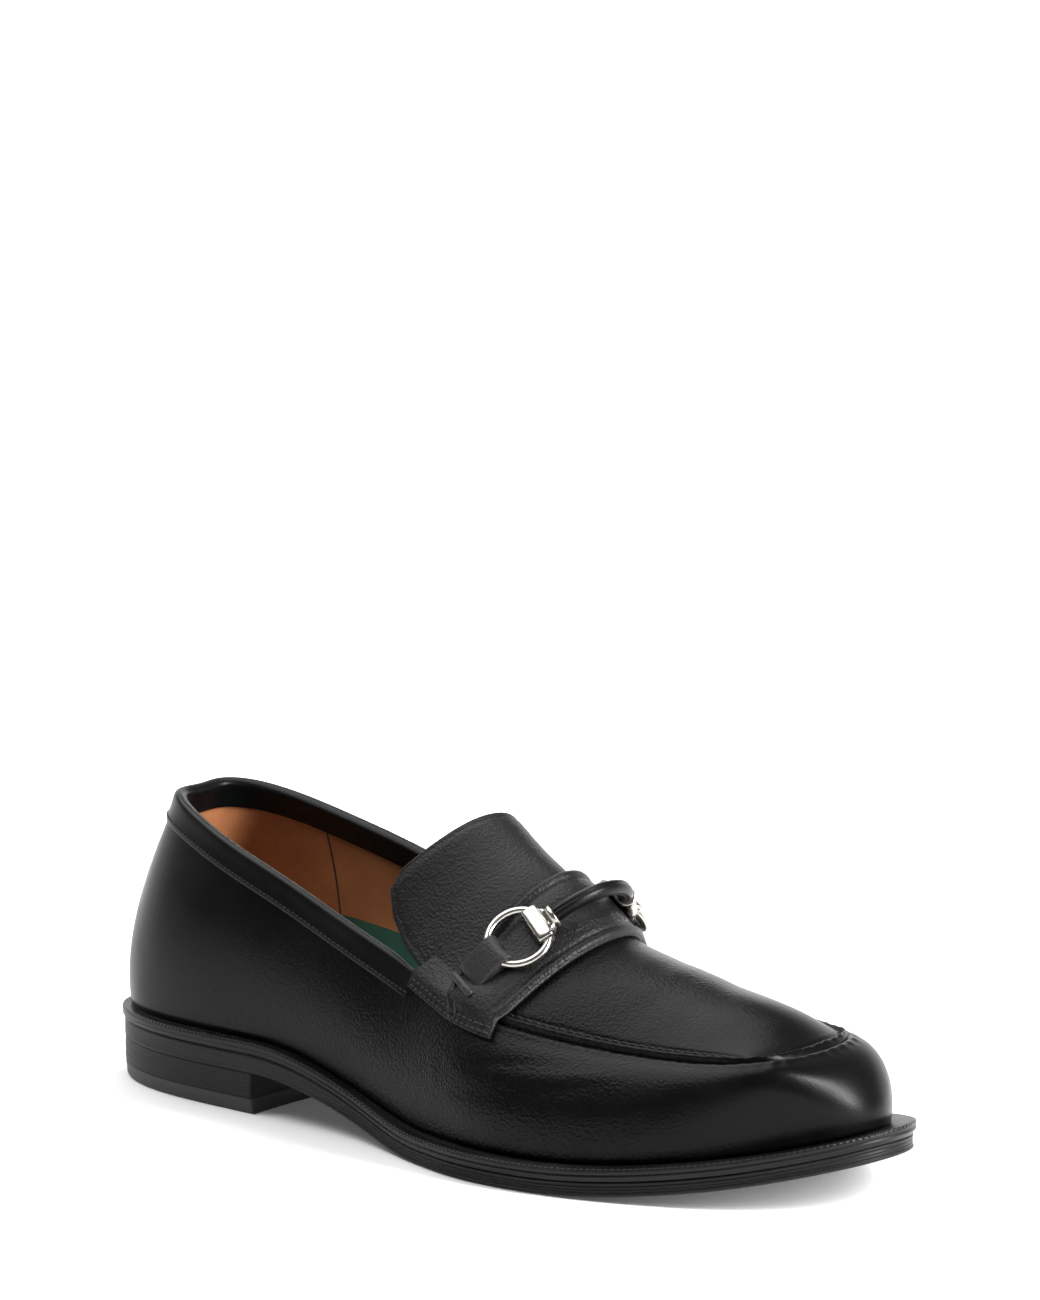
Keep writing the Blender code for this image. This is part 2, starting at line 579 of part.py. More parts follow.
start, start_down, start_normal = ends["lateral"]
finish, finish_down, finish_normal = ends["medial"]
crest, crest_normal, crest_way = strap_frame(0.0)
crest = crest + crest_normal * (BAR_CLEAR + BAR_THICKNESS / 2.0)
away = -(start_down + finish_down) / 2.0
rise_share = (start_normal + finish_normal) @ crest_normal / 2.0
reach = ((crest - (start + finish) / 2.0) @ crest_normal / 0.75 - BAR_RISE * rise_share) / (away @ crest_normal)
path = (start, start - start_down * reach + start_normal * BAR_RISE,
        finish - finish_down * reach + finish_normal * BAR_RISE, finish)


def bar_frame(share):
    """Point, direction, side and up on the line of the bar."""
    point, way = bezier(*path, share)
    up = unit(start_normal * (1.0 - share) + finish_normal * share + crest_normal * 0.5)
    side = unit(np.cross(up, way))
    return point, way, side, np.cross(way, side)


def rounded_box(point, side, up, wide, high):
    """Eight-sided section."""
    cut = 0.28
    shape = ((1, -cut), (1, cut), (cut, 1), (-cut, 1), (-1, cut), (-1, -cut), (-cut, -1), (cut, -1))
    return np.array([point + side * (a * wide / 2.0) + up * (b * high / 2.0) for a, b in shape])


FERRULE_ROWS = ((-4.6, 10.9, 3.6), (-3.7, 11.5, 5.0), (0.0, 11.5, 5.0), (3.0, 6.8, 5.6), (4.2, 6.0, 5.6))
span = np.linalg.norm(start - finish)
for name, from_end in (("lateral", False), ("medial", True)):
    sections = []
    for along, wide, high in FERRULE_ROWS:
        share = max(along, 0.0) * MM / span * 0.86
        point, way, side, up = bar_frame(1.0 - share if from_end else share)
        outward = way if from_end else -way
        point = point + outward * max(-along, 0.0) * MM
        sections.append(rounded_box(point, side, up, wide * MM, high * MM))
    keep("ferrule_" + name, swept(sections if not from_end else sections[::-1]), "bit_metal")

bar_rings = []
bar_first = (FERRULE_ROWS[-1][0] * MM + GAP) / span * 0.86
for share in steps(bar_first, 1.0 - bar_first, 14):
    point, way, side, up = bar_frame(share)
    turn = 2.0 * np.pi * np.arange(10)[:, None] / 10
    bar_rings.append(point + BAR_THICKNESS / 2.0 * (np.cos(turn) * side + np.sin(turn) * up))
keep("bit_bar", swept(bar_rings), "smooth_leather")

# Materials: base colour, metallic, roughness
MATERIALS = {
    "calf_leather": ((0.012, 0.012, 0.013, 1.0), 0.0, 0.28),
    "grain_leather": ((0.016, 0.016, 0.017, 1.0), 0.0, 0.42),
    "smooth_leather": ((0.010, 0.010, 0.011, 1.0), 0.0, 0.35),
    "sole_leather": ((0.020, 0.019, 0.018, 1.0), 0.0, 0.45),
    "welt_leather": ((0.022, 0.021, 0.020, 1.0), 0.0, 0.40),
    "stack_leather": ((0.024, 0.022, 0.020, 1.0), 0.0, 0.45),
    "lift_rubber": ((0.012, 0.012, 0.012, 1.0), 0.0, 0.60),
    "lining_green": ((0.030, 0.065, 0.042, 1.0), 0.0, 0.60),
    "bit_metal": ((0.46, 0.45, 0.42, 1.0), 1.0, 0.25),
}


def material(name):
    """The named material, made once."""
    found = bpy.data.materials.get(name)
    if found:
        return found
    made = bpy.data.materials.new(name)
    made.use_nodes = True
    shader = made.node_tree.nodes["Principled BSDF"]
    colour, metallic, rough = MATERIALS[name]
    shader.inputs["Base Color"].default_value = colour
    shader.inputs["Metallic"].default_value = metallic
    shader.inputs["Roughness"].default_value = rough
    made.diffuse_color = colour
    return made


def mesh_object(name, points, faces, collection):
    """Mesh object with its faces turned out."""
    mesh = bpy.data.meshes.new(name)
    mesh.from_pydata([tuple(p) for p in points], [], faces)
    work = bmesh.new()
    work.from_mesh(mesh)
    bmesh.ops.recalc_face_normals(work, faces=work.faces)
    if work.calc_volume(signed=True) < 0.0:
        bmesh.ops.reverse_faces(work, faces=work.faces)
    work.to_mesh(mesh)
    work.free()
    made = bpy.data.objects.new(name, mesh)
    collection.objects.link(made)
    return made


for item in list(bpy.data.objects):
    bpy.data.objects.remove(item, do_unlink=True)
parts = bpy.data.collections.new("bit_loafer")
cutters = bpy.data.collections.new("cutters")
bpy.context.scene.collection.children.link(parts)
bpy.context.scene.collection.children.link(cutters)

cloud = np.concatenate([shape[0] for shape in SHAPES.values()])
shift = np.array([*((cloud.min(axis=0) + cloud.max(axis=0)) / 2.0)[:2], cloud[:, 2].min()])
for name, (points, faces, surface) in SHAPES.items():
    made = mesh_object(name, points - shift, faces, parts)
    made.data.materials.append(material(surface))
for name, (points, faces) in CUTTERS.items():
    made = mesh_object(name, points - shift, faces, cutters)
    made.hide_render = True
    made.display_type = "WIRE"
    side_name = name.removeprefix("cut_")
    for target in ("tab_" + side_name, "ferrule_" + side_name):
        cut = parts.objects[target].modifiers.new("ring_way", "BOOLEAN")
        cut.operation = "DIFFERENCE"
        cut.solver = "EXACT"
        cut.object = made
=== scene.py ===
"""Looks of the bit loafer: detailed leather, sole, stitches, bit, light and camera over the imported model."""
import bpy
import numpy as np
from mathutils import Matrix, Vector


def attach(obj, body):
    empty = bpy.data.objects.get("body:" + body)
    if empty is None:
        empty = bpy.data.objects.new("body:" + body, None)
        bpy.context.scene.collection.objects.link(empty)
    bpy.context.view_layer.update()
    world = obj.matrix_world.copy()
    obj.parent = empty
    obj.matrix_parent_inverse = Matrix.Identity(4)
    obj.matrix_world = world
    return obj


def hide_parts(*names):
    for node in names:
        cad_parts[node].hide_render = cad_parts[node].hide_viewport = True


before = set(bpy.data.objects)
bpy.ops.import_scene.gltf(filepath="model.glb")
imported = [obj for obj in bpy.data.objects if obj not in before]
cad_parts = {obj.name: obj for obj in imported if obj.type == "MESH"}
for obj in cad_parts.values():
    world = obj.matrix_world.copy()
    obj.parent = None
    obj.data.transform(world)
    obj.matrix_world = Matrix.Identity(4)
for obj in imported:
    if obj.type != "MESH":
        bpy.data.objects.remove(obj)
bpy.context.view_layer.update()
scene = bpy.context.scene

MM = 0.001
LENGTH = 303.0 * MM
BALL_WIDTH = 108.0 * MM
COLLAR_HEIGHT = 98.0 * MM
HEEL_HEIGHT = 13.0 * MM
LIFT_HEIGHT = 5.0 * MM
TOE_SPRING = 14.5 * MM
SOLE_AT_HEEL = 6.4 * MM
SOLE_AT_BALL = 4.6 * MM
WELT_HEIGHT = 4.0 * MM
WELT_REACH = 0.6 * MM
LEATHER = 2.0 * MM
BINDING = 1.0 * MM
STRAP = 2.6 * MM
STRAP_CLEAR = 0.55 * MM
TONGUE = 2.4 * MM
INSOLE = 3.0 * MM
GAP = 0.3 * MM
RING_RADIUS = 9.6 * MM
WIRE = 2.4 * MM
BAR_THICKNESS = 5.0 * MM
TAB_WIDTH = 8.0 * MM
TAB_LEATHER = 1.2 * MM

# Round the foot from the heel back by the outer side to the toe and home by the inner side.
# x is a share of LENGTH, top z of COLLAR_HEIGHT and the rest of BALL_WIDTH; the foot's rise and the top's
# drop are shares of the wall height.
STATION_COLUMNS = ("sole_x", "sole_y", "top_x", "top_y", "top_z", "bulge")
STATIONS = (
    (0.0, 0.0, 0.083, 0.009, 0.973, 0.026),
    (0.013, -0.13, 0.086, -0.083, 0.97, 0.026),
    (0.066, -0.25, 0.112, -0.162, 0.952, 0.03),
    (0.149, -0.315, 0.161, -0.213, 0.903, 0.034),
    (0.248, -0.333, 0.224, -0.25, 0.84, 0.034),
    (0.33, -0.343, 0.304, -0.273, 0.762, 0.034),
    (0.413, -0.364, 0.396, -0.292, 0.66, 0.034),
    (0.485, -0.417, 0.495, -0.315, 0.556, 0.03),
    (0.568, -0.491, 0.568, -0.361, 0.5, 0.028),
    (0.644, -0.523, 0.627, -0.375, 0.464, 0.026),
    (0.733, -0.495, 0.7, -0.329, 0.427, 0.024),
    (0.809, -0.431, 0.785, -0.273, 0.406, 0.022),
    (0.878, -0.347, 0.858, -0.234, 0.412, 0.02),
    (0.937, -0.241, 0.901, -0.194, 0.433, 0.018),
    (0.983, -0.111, 0.916, -0.088, 0.436, 0.016),
    (1.0, 0.028, 0.919, 0.028, 0.441, 0.014),
    (0.987, 0.157, 0.913, 0.13, 0.444, 0.016),
    (0.95, 0.287, 0.894, 0.204, 0.439, 0.018),
    (0.891, 0.407, 0.851, 0.264, 0.429, 0.02),
    (0.818, 0.486, 0.779, 0.315, 0.429, 0.022),
    (0.733, 0.509, 0.693, 0.352, 0.454, 0.024),
    (0.644, 0.468, 0.62, 0.352, 0.505, 0.026),
    (0.561, 0.389, 0.561, 0.338, 0.551, 0.028),
    (0.488, 0.315, 0.502, 0.31, 0.602, 0.03),
    (0.403, 0.27, 0.409, 0.292, 0.697, 0.04),
    (0.323, 0.268, 0.314, 0.278, 0.797, 0.04),
    (0.241, 0.301, 0.231, 0.264, 0.869, 0.036),
    (0.149, 0.306, 0.161, 0.234, 0.929, 0.034),
    (0.066, 0.25, 0.109, 0.176, 0.97, 0.03),
    (0.013, 0.13, 0.084, 0.093, 0.981, 0.026),
)
# The same at stations k and 30 - k
EVEN_COLUMNS = ("shelf", "rise", "lean", "drop")
EVEN = (
    (0.023, 0.3, 0.116, 0.36), (0.023, 0.3, 0.11, 0.36), (0.023, 0.3, 0.09, 0.36), (0.028, 0.3, 0.08, 0.36),
    (0.028, 0.3, 0.07, 0.36), (0.028, 0.3, 0.06, 0.36), (0.028, 0.32, 0.055, 0.36),
    (0.037, 0.35, 0.06, 0.34), (0.046, 0.38, 0.07, 0.3), (0.046, 0.42, 0.08, 0.22),
    (0.046, 0.45, 0.095, 0.14), (0.051, 0.48, 0.095, 0.08), (0.056, 0.5, 0.09, 0.05),
    (0.06, 0.5, 0.09, 0.05), (0.065, 0.5, 0.095, 0.05), (0.069, 0.5, 0.095, 0.05),
)
THROAT_OUT, CORNER_OUT, CORNER_IN, THROAT_IN = 8.0, 13.0, 17.0, 22.0
ROUND = float(len(STATIONS))

# Height of the instep line: share of LENGTH along, share of COLLAR_HEIGHT up.
RIDGE = (
    (0.47, 1.056), (0.495, 1.02), (0.545, 0.924), (0.601, 0.822), (0.634, 0.735),
    (0.66, 0.679), (0.7, 0.634), (0.752, 0.596), (0.809, 0.555), (0.865, 0.518),
    (0.891, 0.49), (0.919, 0.441),
)
# Side edges of the tongue behind the strap: row, outer x y z, inner x y z, forward bow, crown power.
# x is a share of LENGTH, y of BALL_WIDTH, z of COLLAR_HEIGHT, bow of LENGTH.
TONGUE_ROWS = (
    (-0.25, 0.495, -0.315, 0.556, 0.502, 0.31, 0.602, 0.085, 1.9),
    (-0.45, 0.466, -0.29, 0.61, 0.484, 0.295, 0.65, 0.08, 2.0),
    (-0.65, 0.443, -0.265, 0.686, 0.472, 0.28, 0.722, 0.07, 2.1),
    (-0.85, 0.432, -0.24, 0.762, 0.464, 0.262, 0.792, 0.06, 2.2),
    (-1.0, 0.438, -0.2, 0.838, 0.466, 0.235, 0.856, 0.046, 2.2),
)


def open_curve(knots, values):
    """Natural cubic curve through the values, flat-ended outside the knots."""
    n = len(knots)
    step = np.diff(knots)
    matrix, right = np.eye(n), np.zeros(n)
    for k in range(1, n - 1):
        matrix[k, k - 1:k + 2] = step[k - 1], 2.0 * (step[k - 1] + step[k]), step[k]
        right[k] = 6.0 * ((values[k + 1] - values[k]) / step[k] - (values[k] - values[k - 1]) / step[k - 1])
    bend = np.linalg.solve(matrix, right)

    def at(x):
        x = np.clip(np.asarray(x, float), knots[0], knots[-1])
        k = np.clip(np.searchsorted(knots, x, side="right") - 1, 0, n - 2)
        a, b = (knots[k + 1] - x) / step[k], (x - knots[k]) / step[k]
        cubic = ((a ** 3 - a) * bend[k] + (b ** 3 - b) * bend[k + 1]) * step[k] ** 2 / 6.0
        return a * values[k] + b * values[k + 1] + cubic
    return at


def round_curve(values):
    """Closed cubic curve through one value a station."""
    count = len(values)
    inside = open_curve(np.arange(-count, 2.0 * count), np.tile(values, 3))
    return lambda t: inside(np.mod(t, count))


def soft(x):
    """Smooth step from 0 to 1."""
    x = np.clip(x, 0.0, 1.0)
    return x * x * (3.0 - 2.0 * x)


columns = dict(zip(STATION_COLUMNS, np.array(STATIONS).T))
columns.update(zip(EVEN_COLUMNS, np.array(EVEN + EVEN[-2:0:-1]).T))
station = {name: round_curve(values) for name, values in columns.items()}
ridge_height = open_curve(*np.array(RIDGE).T)
tongue_row, *tongue_sides = np.array(TONGUE_ROWS).T


def sole_outline(t, inset=0.0):
    """Plan of the sole at loop place t, moved inward by inset."""
    t = np.asarray(t, float)
    x, y = station["sole_x"](t) * LENGTH, station["sole_y"](t) * BALL_WIDTH
    dx = (station["sole_x"](t + 0.02) - station["sole_x"](t - 0.02)) * LENGTH
    dy = (station["sole_y"](t + 0.02) - station["sole_y"](t - 0.02)) * BALL_WIDTH
    size = np.hypot(dx, dy)
    return x - dy / size * inset, y + dx / size * inset


def out_of_plan(t):
    """Unit vector in plan that points out of the shoe."""
    x0, y0 = sole_outline(t)
    x1, y1 = sole_outline(t, 1.0)
    return x0 - x1, y0 - y1


def underside(x):
    """Height of the bottom of the outsole above the floor."""
    share = x / LENGTH
    arch = HEEL_HEIGHT * (1.0 - soft((share - 0.275) / 0.27))
    toe = TOE_SPRING * np.clip((share - 0.675) / 0.325, 0.0, 1.2) ** 2
    return arch + toe


def outsole_top(x):
    """Height of the top of the outsole."""
    return underside(x) + SOLE_AT_HEEL + (SOLE_AT_BALL - SOLE_AT_HEEL) * soft((x / LENGTH - 0.25) / 0.30)


def welt_top(x):
    """Height of the top of the welt."""
    return outsole_top(x) + WELT_HEIGHT


def wall(t, s):
    """Side wall of the upper: loop place t, share s of the way from welt to top edge."""
    t, s = np.broadcast_arrays(np.asarray(t, float), np.asarray(s, float))
    foot_x, foot_y = sole_outline(t, station["shelf"](t) * BALL_WIDTH)
    foot = np.stack([foot_x, foot_y, welt_top(foot_x) + GAP], -1)
    top = np.stack([station["top_x"](t) * LENGTH, station["top_y"](t) * BALL_WIDTH,
                    station["top_z"](t) * COLLAR_HEIGHT], -1)
    out_x, out_y = out_of_plan(t)
    out = np.stack([out_x, out_y, np.zeros_like(out_x)], -1)
    up = np.zeros_like(out)
    up[..., 2] = top[..., 2] - foot[..., 2]
    low = foot + out * (station["bulge"](t) * BALL_WIDTH)[..., None] + up * station["rise"](t)[..., None]
    high = top + out * (station["lean"](t) * BALL_WIDTH)[..., None] - up * station["drop"](t)[..., None]
    s = s[..., None]
    return foot * (1 - s) ** 3 + 3 * low * s * (1 - s) ** 2 + 3 * high * s ** 2 * (1 - s) + top * s ** 3


def side_places(row):
    """Loop places at the two ends of an instep row; row 0 is the throat, row 1 the front of the apron."""
    ahead = np.maximum(row, 0.0)
    behind = np.minimum(row, 0.0) * 4.0
    out = THROAT_OUT + (CORNER_OUT - THROAT_OUT) * ahead + behind
    home = THROAT_IN - (THROAT_IN - CORNER_IN) * ahead - behind
    return out, home


def instep(row, v):
    """Instep surface: row from the tongue top (-1) by the throat (0) to the front of the apron (1)."""
    row, v = np.broadcast_arrays(np.asarray(row, float), np.asarray(v, float))
    out_t, in_t = side_places(np.maximum(row, -0.25))
    a, b = wall(out_t, 1.0), wall(in_t, 1.0)
    bow = (0.085 - 0.070 * np.clip(row, 0.0, 1.0)) * LENGTH
    back = row < -0.25
    read = np.stack([np.interp(np.clip(-row, 0.25, 1.0), -tongue_row, side) for side in tongue_sides], -1)
    scale = np.array([LENGTH, BALL_WIDTH, COLLAR_HEIGHT])
    a = np.where(back[..., None], read[..., :3] * scale, a)
    b = np.where(back[..., None], read[..., 3:6] * scale, b)
    bow = np.where(back, read[..., 6] * LENGTH, bow)
    power = np.where(back, read[..., 7], 1.9)
    w = (v[..., None] + 1.0) / 2.0
    point = a * (1.0 - w) + b * w
    middle = (a + b) / 2.0
    crest_x = middle[..., 0] + bow
    crest_z = ridge_height(crest_x / LENGTH) * COLLAR_HEIGHT
    fade = soft((row - 0.55) / 0.45)
    front_t = CORNER_OUT + (CORNER_IN - CORNER_OUT) * w[..., 0]
    corner_a, corner_b = wall(CORNER_OUT, 1.0), wall(CORNER_IN, 1.0)
    front = wall(front_t, 1.0) - (corner_a * (1.0 - w) + corner_b * w)
    crown = 1.0 - np.abs(v) ** power
    point[..., 0] += bow * crown * (1.0 - fade)
    point[..., 2] += (crest_z - middle[..., 2]) * crown * (1.0 - fade ** 3)
    return point + front * fade[..., None]


def steps(first, last, count):
    """Evenly spaced places from first to last, count intervals."""
    return first + (last - first) * np.arange(count + 1) / count


def fine_ends(count, ends, reach):
    """Shares 0 to 1 with extra ones near both ends."""
    low = steps(0.0, reach, ends)
    return np.concatenate([low, steps(reach, 1.0 - reach, count)[1:-1], 1.0 - low[::-1]])


def unit(vector):
    """Vectors scaled to length 1."""
    return vector / np.maximum(np.linalg.norm(vector, axis=-1, keepdims=True), 1e-12)


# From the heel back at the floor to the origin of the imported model, in metres
SHIFT = np.array([0.15149993, -0.00074965, 0.0])


def run_along(points, axis=0):
    """Distance along lines of points from their first one."""
    gap = np.linalg.norm(np.diff(points, axis=axis), axis=-1)
    first = np.zeros_like(np.take(gap, [0], axis=axis))
    return np.concatenate([first, np.cumsum(gap, axis=axis)], axis=axis)


def read_line(at, place, values):
    """Rows of three values, read at places along a line."""
    return np.stack([np.interp(at, place, values[:, k]) for k in range(3)], -1)


def hump(x, middle, width):
    """Bell shape."""
    return np.exp(-((x - middle) / width) ** 2)


def facing(points, faces, right_way):
    """Faces and normals of a sheet, turned over if right_way(normals) is below zero."""
    normals = vertex_normals(points, faces)
    if right_way(normals) < 0.0:
        return [tuple(reversed(face)) for face in faces], -normals
    return faces, normals


def vertex_normals(points, faces):
    """Outward unit normal at each point of a quad sheet."""
    quads = np.array(faces)
    a, b, c, d = (points[quads[:, k]] for k in range(4))
    normal = np.cross(c - a, d - b)
    total = np.zeros_like(points)
    for k in range(4):
        np.add.at(total, quads[:, k], normal)
    return unit(total)


def grid_quads(index, closed=False):
    """Quads over a grid of point numbers."""
    turned = np.roll(index, -1, axis=0) if closed else index[1:]
    here = index if closed else index[:-1]
    quads = np.stack([here[:, :-1], turned[:, :-1], turned[:, 1:], here[:, 1:]], -1).reshape(-1, 4)
    return [tuple(int(k) for k in quad) for quad in quads]


def open_edges(faces):
    """Edges used by one face."""
    seen = {(a, b) for face in faces for a, b in zip(face, face[1:] + face[:1])}
    return [(a, b) for a, b in sorted(seen) if (b, a) not in seen]


def thick(points, faces, outer, inner, normals):
    """Closed solid between a sheet moved out by outer and moved in by inner."""
    count = len(points)
    outer, inner = np.broadcast_to(outer, count), np.broadcast_to(inner, count)
    both = np.concatenate([points + normals * outer[:, None], points - normals * inner[:, None]])
    back = [tuple(k + count for k in reversed(face)) for face in faces]
    rim = [(b, a, a + count, b + count) for a, b in open_edges(faces)]
    return both, list(faces) + back + rim


def swept(rings, closed=False):
    """Closed solid from a row of equal sections."""
    rings = np.asarray(rings)
    count, size = rings.shape[:2]
    index = np.arange(count * size).reshape(count, size)
    faces = grid_quads(np.c_[index, index[:, :1]], closed)
    if not closed:
        faces += [tuple(range(size)), tuple(reversed(range((count - 1) * size, count * size)))]
    return rings.reshape(-1, 3), faces


def add_object(name, data):
    """Object in the scene."""
    made = bpy.data.objects.new(name, data)
    scene.collection.objects.link(made)
    return made


def add_mesh(name, points, faces, material):
    """Smooth mesh object."""
    mesh = bpy.data.meshes.new(name)
    mesh.from_pydata(points, [], faces)
    mesh.update()
    mesh.polygons.foreach_set("use_smooth", [True] * len(mesh.polygons))
    mesh.materials.append(material)
    return add_object(name, mesh)


def make(name, shape, shade, slot, *nodes, uv=None):
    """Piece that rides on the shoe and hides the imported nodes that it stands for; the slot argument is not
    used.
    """
    made = add_mesh(name, (shape[0] - SHIFT).tolist(), shape[1], shade.material)
    if uv is not None:
        corners = np.empty(len(made.data.loops), int)
        made.data.loops.foreach_get("vertex_index", corners)
        made.data.uv_layers.new(name="along").data.foreach_set("uv", uv[corners].ravel())
    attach(made, "root")
    if nodes:
        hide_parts(*nodes)
    return made


def outward(name, shape, shade, slot, *nodes, uv=None):
    """The same, with its faces turned out by their enclosed volume."""
    points, faces = shape
    volume = 0.0
    for face in faces:
        p = points[list(face)]
        for k in range(1, len(face) - 1):
            volume += p[0] @ np.cross(p[k], p[k + 1])
    if volume < 0.0:
        faces = [tuple(reversed(face)) for face in faces]
    return make(name, (points, faces), shade, slot, *nodes, uv=uv)


class Shader:
    """Small helper that builds a material from nodes."""

    def __init__(self, name, colour, rough, metallic=0.0, specular=0.5):
        self.material = bpy.data.materials.new(name)
        self.material.use_nodes = True
        self.tree = self.material.node_tree
        self.main = self.tree.nodes["Principled BSDF"]
        self.main.inputs["Base Color"].default_value = (*colour, 1.0)
        self.main.inputs["Roughness"].default_value = rough
        self.main.inputs["Metallic"].default_value = metallic
        self.main.inputs["Specular IOR Level"].default_value = specular
        self.material.diffuse_color = (*colour, 1.0)
        self.place = self.add("ShaderNodeTexCoord").outputs["Object"]

    def put(self, value, socket):
        if hasattr(value, "node"):
            self.tree.links.new(value, socket)
        else:
            socket.default_value = value

    def add(self, kind, **values):
        node = self.tree.nodes.new(kind)
        for key, value in values.items():
            if key in node.inputs:
                self.put(value, node.inputs[key])
            else:
                setattr(node, key, value)
        return node

    def noise(self, scale, detail=3.0, rough=0.55, place=None):
        values = {"Scale": scale, "Detail": detail, "Roughness": rough, "Vector": place or self.place}
        return self.add("ShaderNodeTexNoise", **values).outputs["Fac"]

    def cells(self, scale, place=None):
        values = {"Scale": scale, "Vector": place or self.place}
        return self.add("ShaderNodeTexVoronoi", feature="SMOOTH_F1", **values).outputs["Distance"]

    def ramp(self, value, low, high, to_low=0.0, to_high=1.0):
        ends = {"From Min": low, "From Max": high, "To Min": to_low, "To Max": to_high}
        return self.add("ShaderNodeMapRange", clamp=True, Value=value, **ends).outputs["Result"]

    def math(self, kind, a, b):
        node = self.add("ShaderNodeMath", operation=kind)
        self.put(a, node.inputs[0])
        self.put(b, node.inputs[1])
        return node.outputs["Value"]

    def bump(self, height, distance, strength=1.0):
        node = self.add("ShaderNodeBump", Height=height, Distance=distance, Strength=strength)
        current = self.main.inputs["Normal"]
        if current.is_linked:
            self.put(current.links[0].from_socket, node.inputs["Normal"])
        self.put(node.outputs["Normal"], current)

    def tint(self, value, dark, light):
        node = self.add("ShaderNodeMix", data_type="RGBA")
        for socket, given in zip((0, 6, 7), (value, (*dark, 1.0), (*light, 1.0))):
            self.put(given, node.inputs[socket])
        self.put(node.outputs[2], self.main.inputs["Base Color"])


def leather(name, grain, low_rough, high_rough, depth, gloss=0.15, pale=1.0):
    """Black leather: pebbles, fine wrinkles and uneven gloss."""
    shade = Shader(name, (0.005, 0.005, 0.0054), low_rough, specular=gloss)
    noise = shade.add("ShaderNodeTexNoise", Scale=260.0, Detail=2.0, Vector=shade.place)
    wander = shade.add("ShaderNodeVectorMath", operation="SCALE", Scale=0.00032)
    shade.put(noise.outputs["Color"], wander.inputs[0])
    bent = shade.add("ShaderNodeVectorMath", operation="ADD")
    shade.put(shade.place, bent.inputs[0])
    shade.put(wander.outputs["Vector"], bent.inputs[1])
    broad = shade.noise(42.0, 3.0, 0.5)
    shade.bump(shade.cells(grain, bent.outputs["Vector"]), 0.00028, depth)
    shade.bump(shade.noise(grain * 2.4, 4.0, 0.6), 0.00010, min(1.0, depth * 0.9))
    shade.put(shade.ramp(broad, 0.3, 0.7, low_rough, high_rough), shade.main.inputs["Roughness"])
    shade.tint(shade.ramp(broad, 0.35, 0.7), [pale * c for c in (0.0036, 0.0036, 0.0039)],
               [pale * c for c in (0.0066, 0.0066, 0.0071)])
    return shade


def edge_leather(name, colour, rough, lines, line_depth):
    """Dyed leather edge: fine lines along the sole and a waxy, uneven gloss."""
    shade = Shader(name, colour, rough, specular=0.18)
    uv = shade.add("ShaderNodeUVMap", uv_map="along").outputs["UV"]
    stretch = shade.add("ShaderNodeMapping", Vector=uv, Scale=(30.0, lines, 1.0))
    streaks = shade.noise(1.0, 4.0, 0.6, stretch.outputs["Vector"])
    shade.bump(streaks, 0.0004, line_depth)
    shade.bump(shade.noise(900.0, 3.0, 0.6), 0.00008, 0.5)
    shade.put(shade.ramp(streaks, 0.3, 0.7, rough - 0.08, rough + 0.12), shade.main.inputs["Roughness"])
    shade.tint(shade.ramp(streaks, 0.35, 0.68), [k * 0.7 for k in colour], [k * 1.5 for k in colour])
    return shade


def lining_leather(name, colour, rough, cloud, grain, dark, light):
    """Matt lining leather with a cloudy tint."""
    shade = Shader(name, colour, rough)
    shade.tint(shade.ramp(shade.noise(cloud, 4.0, 0.6), 0.3, 0.7), dark, light)
    shade.bump(shade.cells(grain), 0.0001, 0.35)
    return shade


# Materials; the calf's grain is deep only on the vamp
calf = leather("calf", 1250.0, 0.27, 0.36, 0.85, gloss=0.11, pale=0.6)
along = calf.add("ShaderNodeSeparateXYZ", Vector=calf.place)
for bump in [node for node in calf.tree.nodes if node.type == "BUMP"]:
    middle = calf.math("MULTIPLY", calf.ramp(along.outputs["X"], -0.09, 0.0, 0.05, 1.0),
                       calf.ramp(along.outputs["X"], 0.075, 0.125, 1.0, 0.12))
    strength = bump.inputs["Strength"]
    calf.put(calf.math("MULTIPLY", middle, strength.default_value * 0.8), strength)
grainy = leather("pebbled", 1200.0, 0.38, 0.50, 0.75, gloss=0.22, pale=1.4)
# Painted light: the tab wears the strap's black pebbled leather tinted much paler, so that its colour stands
# in for light falling on the tab
tab_leather = leather("tab_leather", 1200.0, 0.42, 0.52, 0.75, gloss=0.25, pale=5.0)
smooth_black = leather("smooth_black", 1900.0, 0.30, 0.38, 0.16, pale=0.7)
sole_edge = edge_leather("sole_edge", (0.0085, 0.0083, 0.0085), 0.44, 1500.0, 0.35)
welt_edge = edge_leather("welt_edge", (0.009, 0.0088, 0.009), 0.36, 700.0, 0.2)
stack_edge = edge_leather("stack_edge", (0.0085, 0.0083, 0.0085), 0.48, 1700.0, 0.45)
lift = Shader("lift_rubber", (0.016, 0.016, 0.0165), 0.55)
lift.bump(lift.noise(700.0), 0.0001, 0.4)
tan = lining_leather("lining_tan", (0.42, 0.17, 0.06), 0.62, 55.0, 1300.0, (0.36, 0.125, 0.048),
                     (0.46, 0.18, 0.070))
green = lining_leather("sock_green", (0.022, 0.12, 0.085), 0.6, 70.0, 1200.0, (0.012, 0.090, 0.064),
                       (0.020, 0.130, 0.095))
metal = Shader("nickel", (0.50, 0.48, 0.44), 0.22, 1.0)
metal.put(metal.ramp(metal.noise(240.0, 5.0, 0.65), 0.35, 0.7, 0.17, 0.30), metal.main.inputs["Roughness"])
metal.tint(metal.ramp(metal.noise(60.0), 0.35, 0.65), (0.44, 0.42, 0.385), (0.56, 0.54, 0.50))
thread = Shader("thread", (0.014, 0.014, 0.015), 0.5, specular=0.3)
thread.bump(thread.noise(2600.0), 0.0001, 0.6)
brown_thread = Shader("brown_seam", (0.11, 0.055, 0.028), 0.6)
brown_thread.bump(brown_thread.noise(2000.0), 0.0001, 0.5)

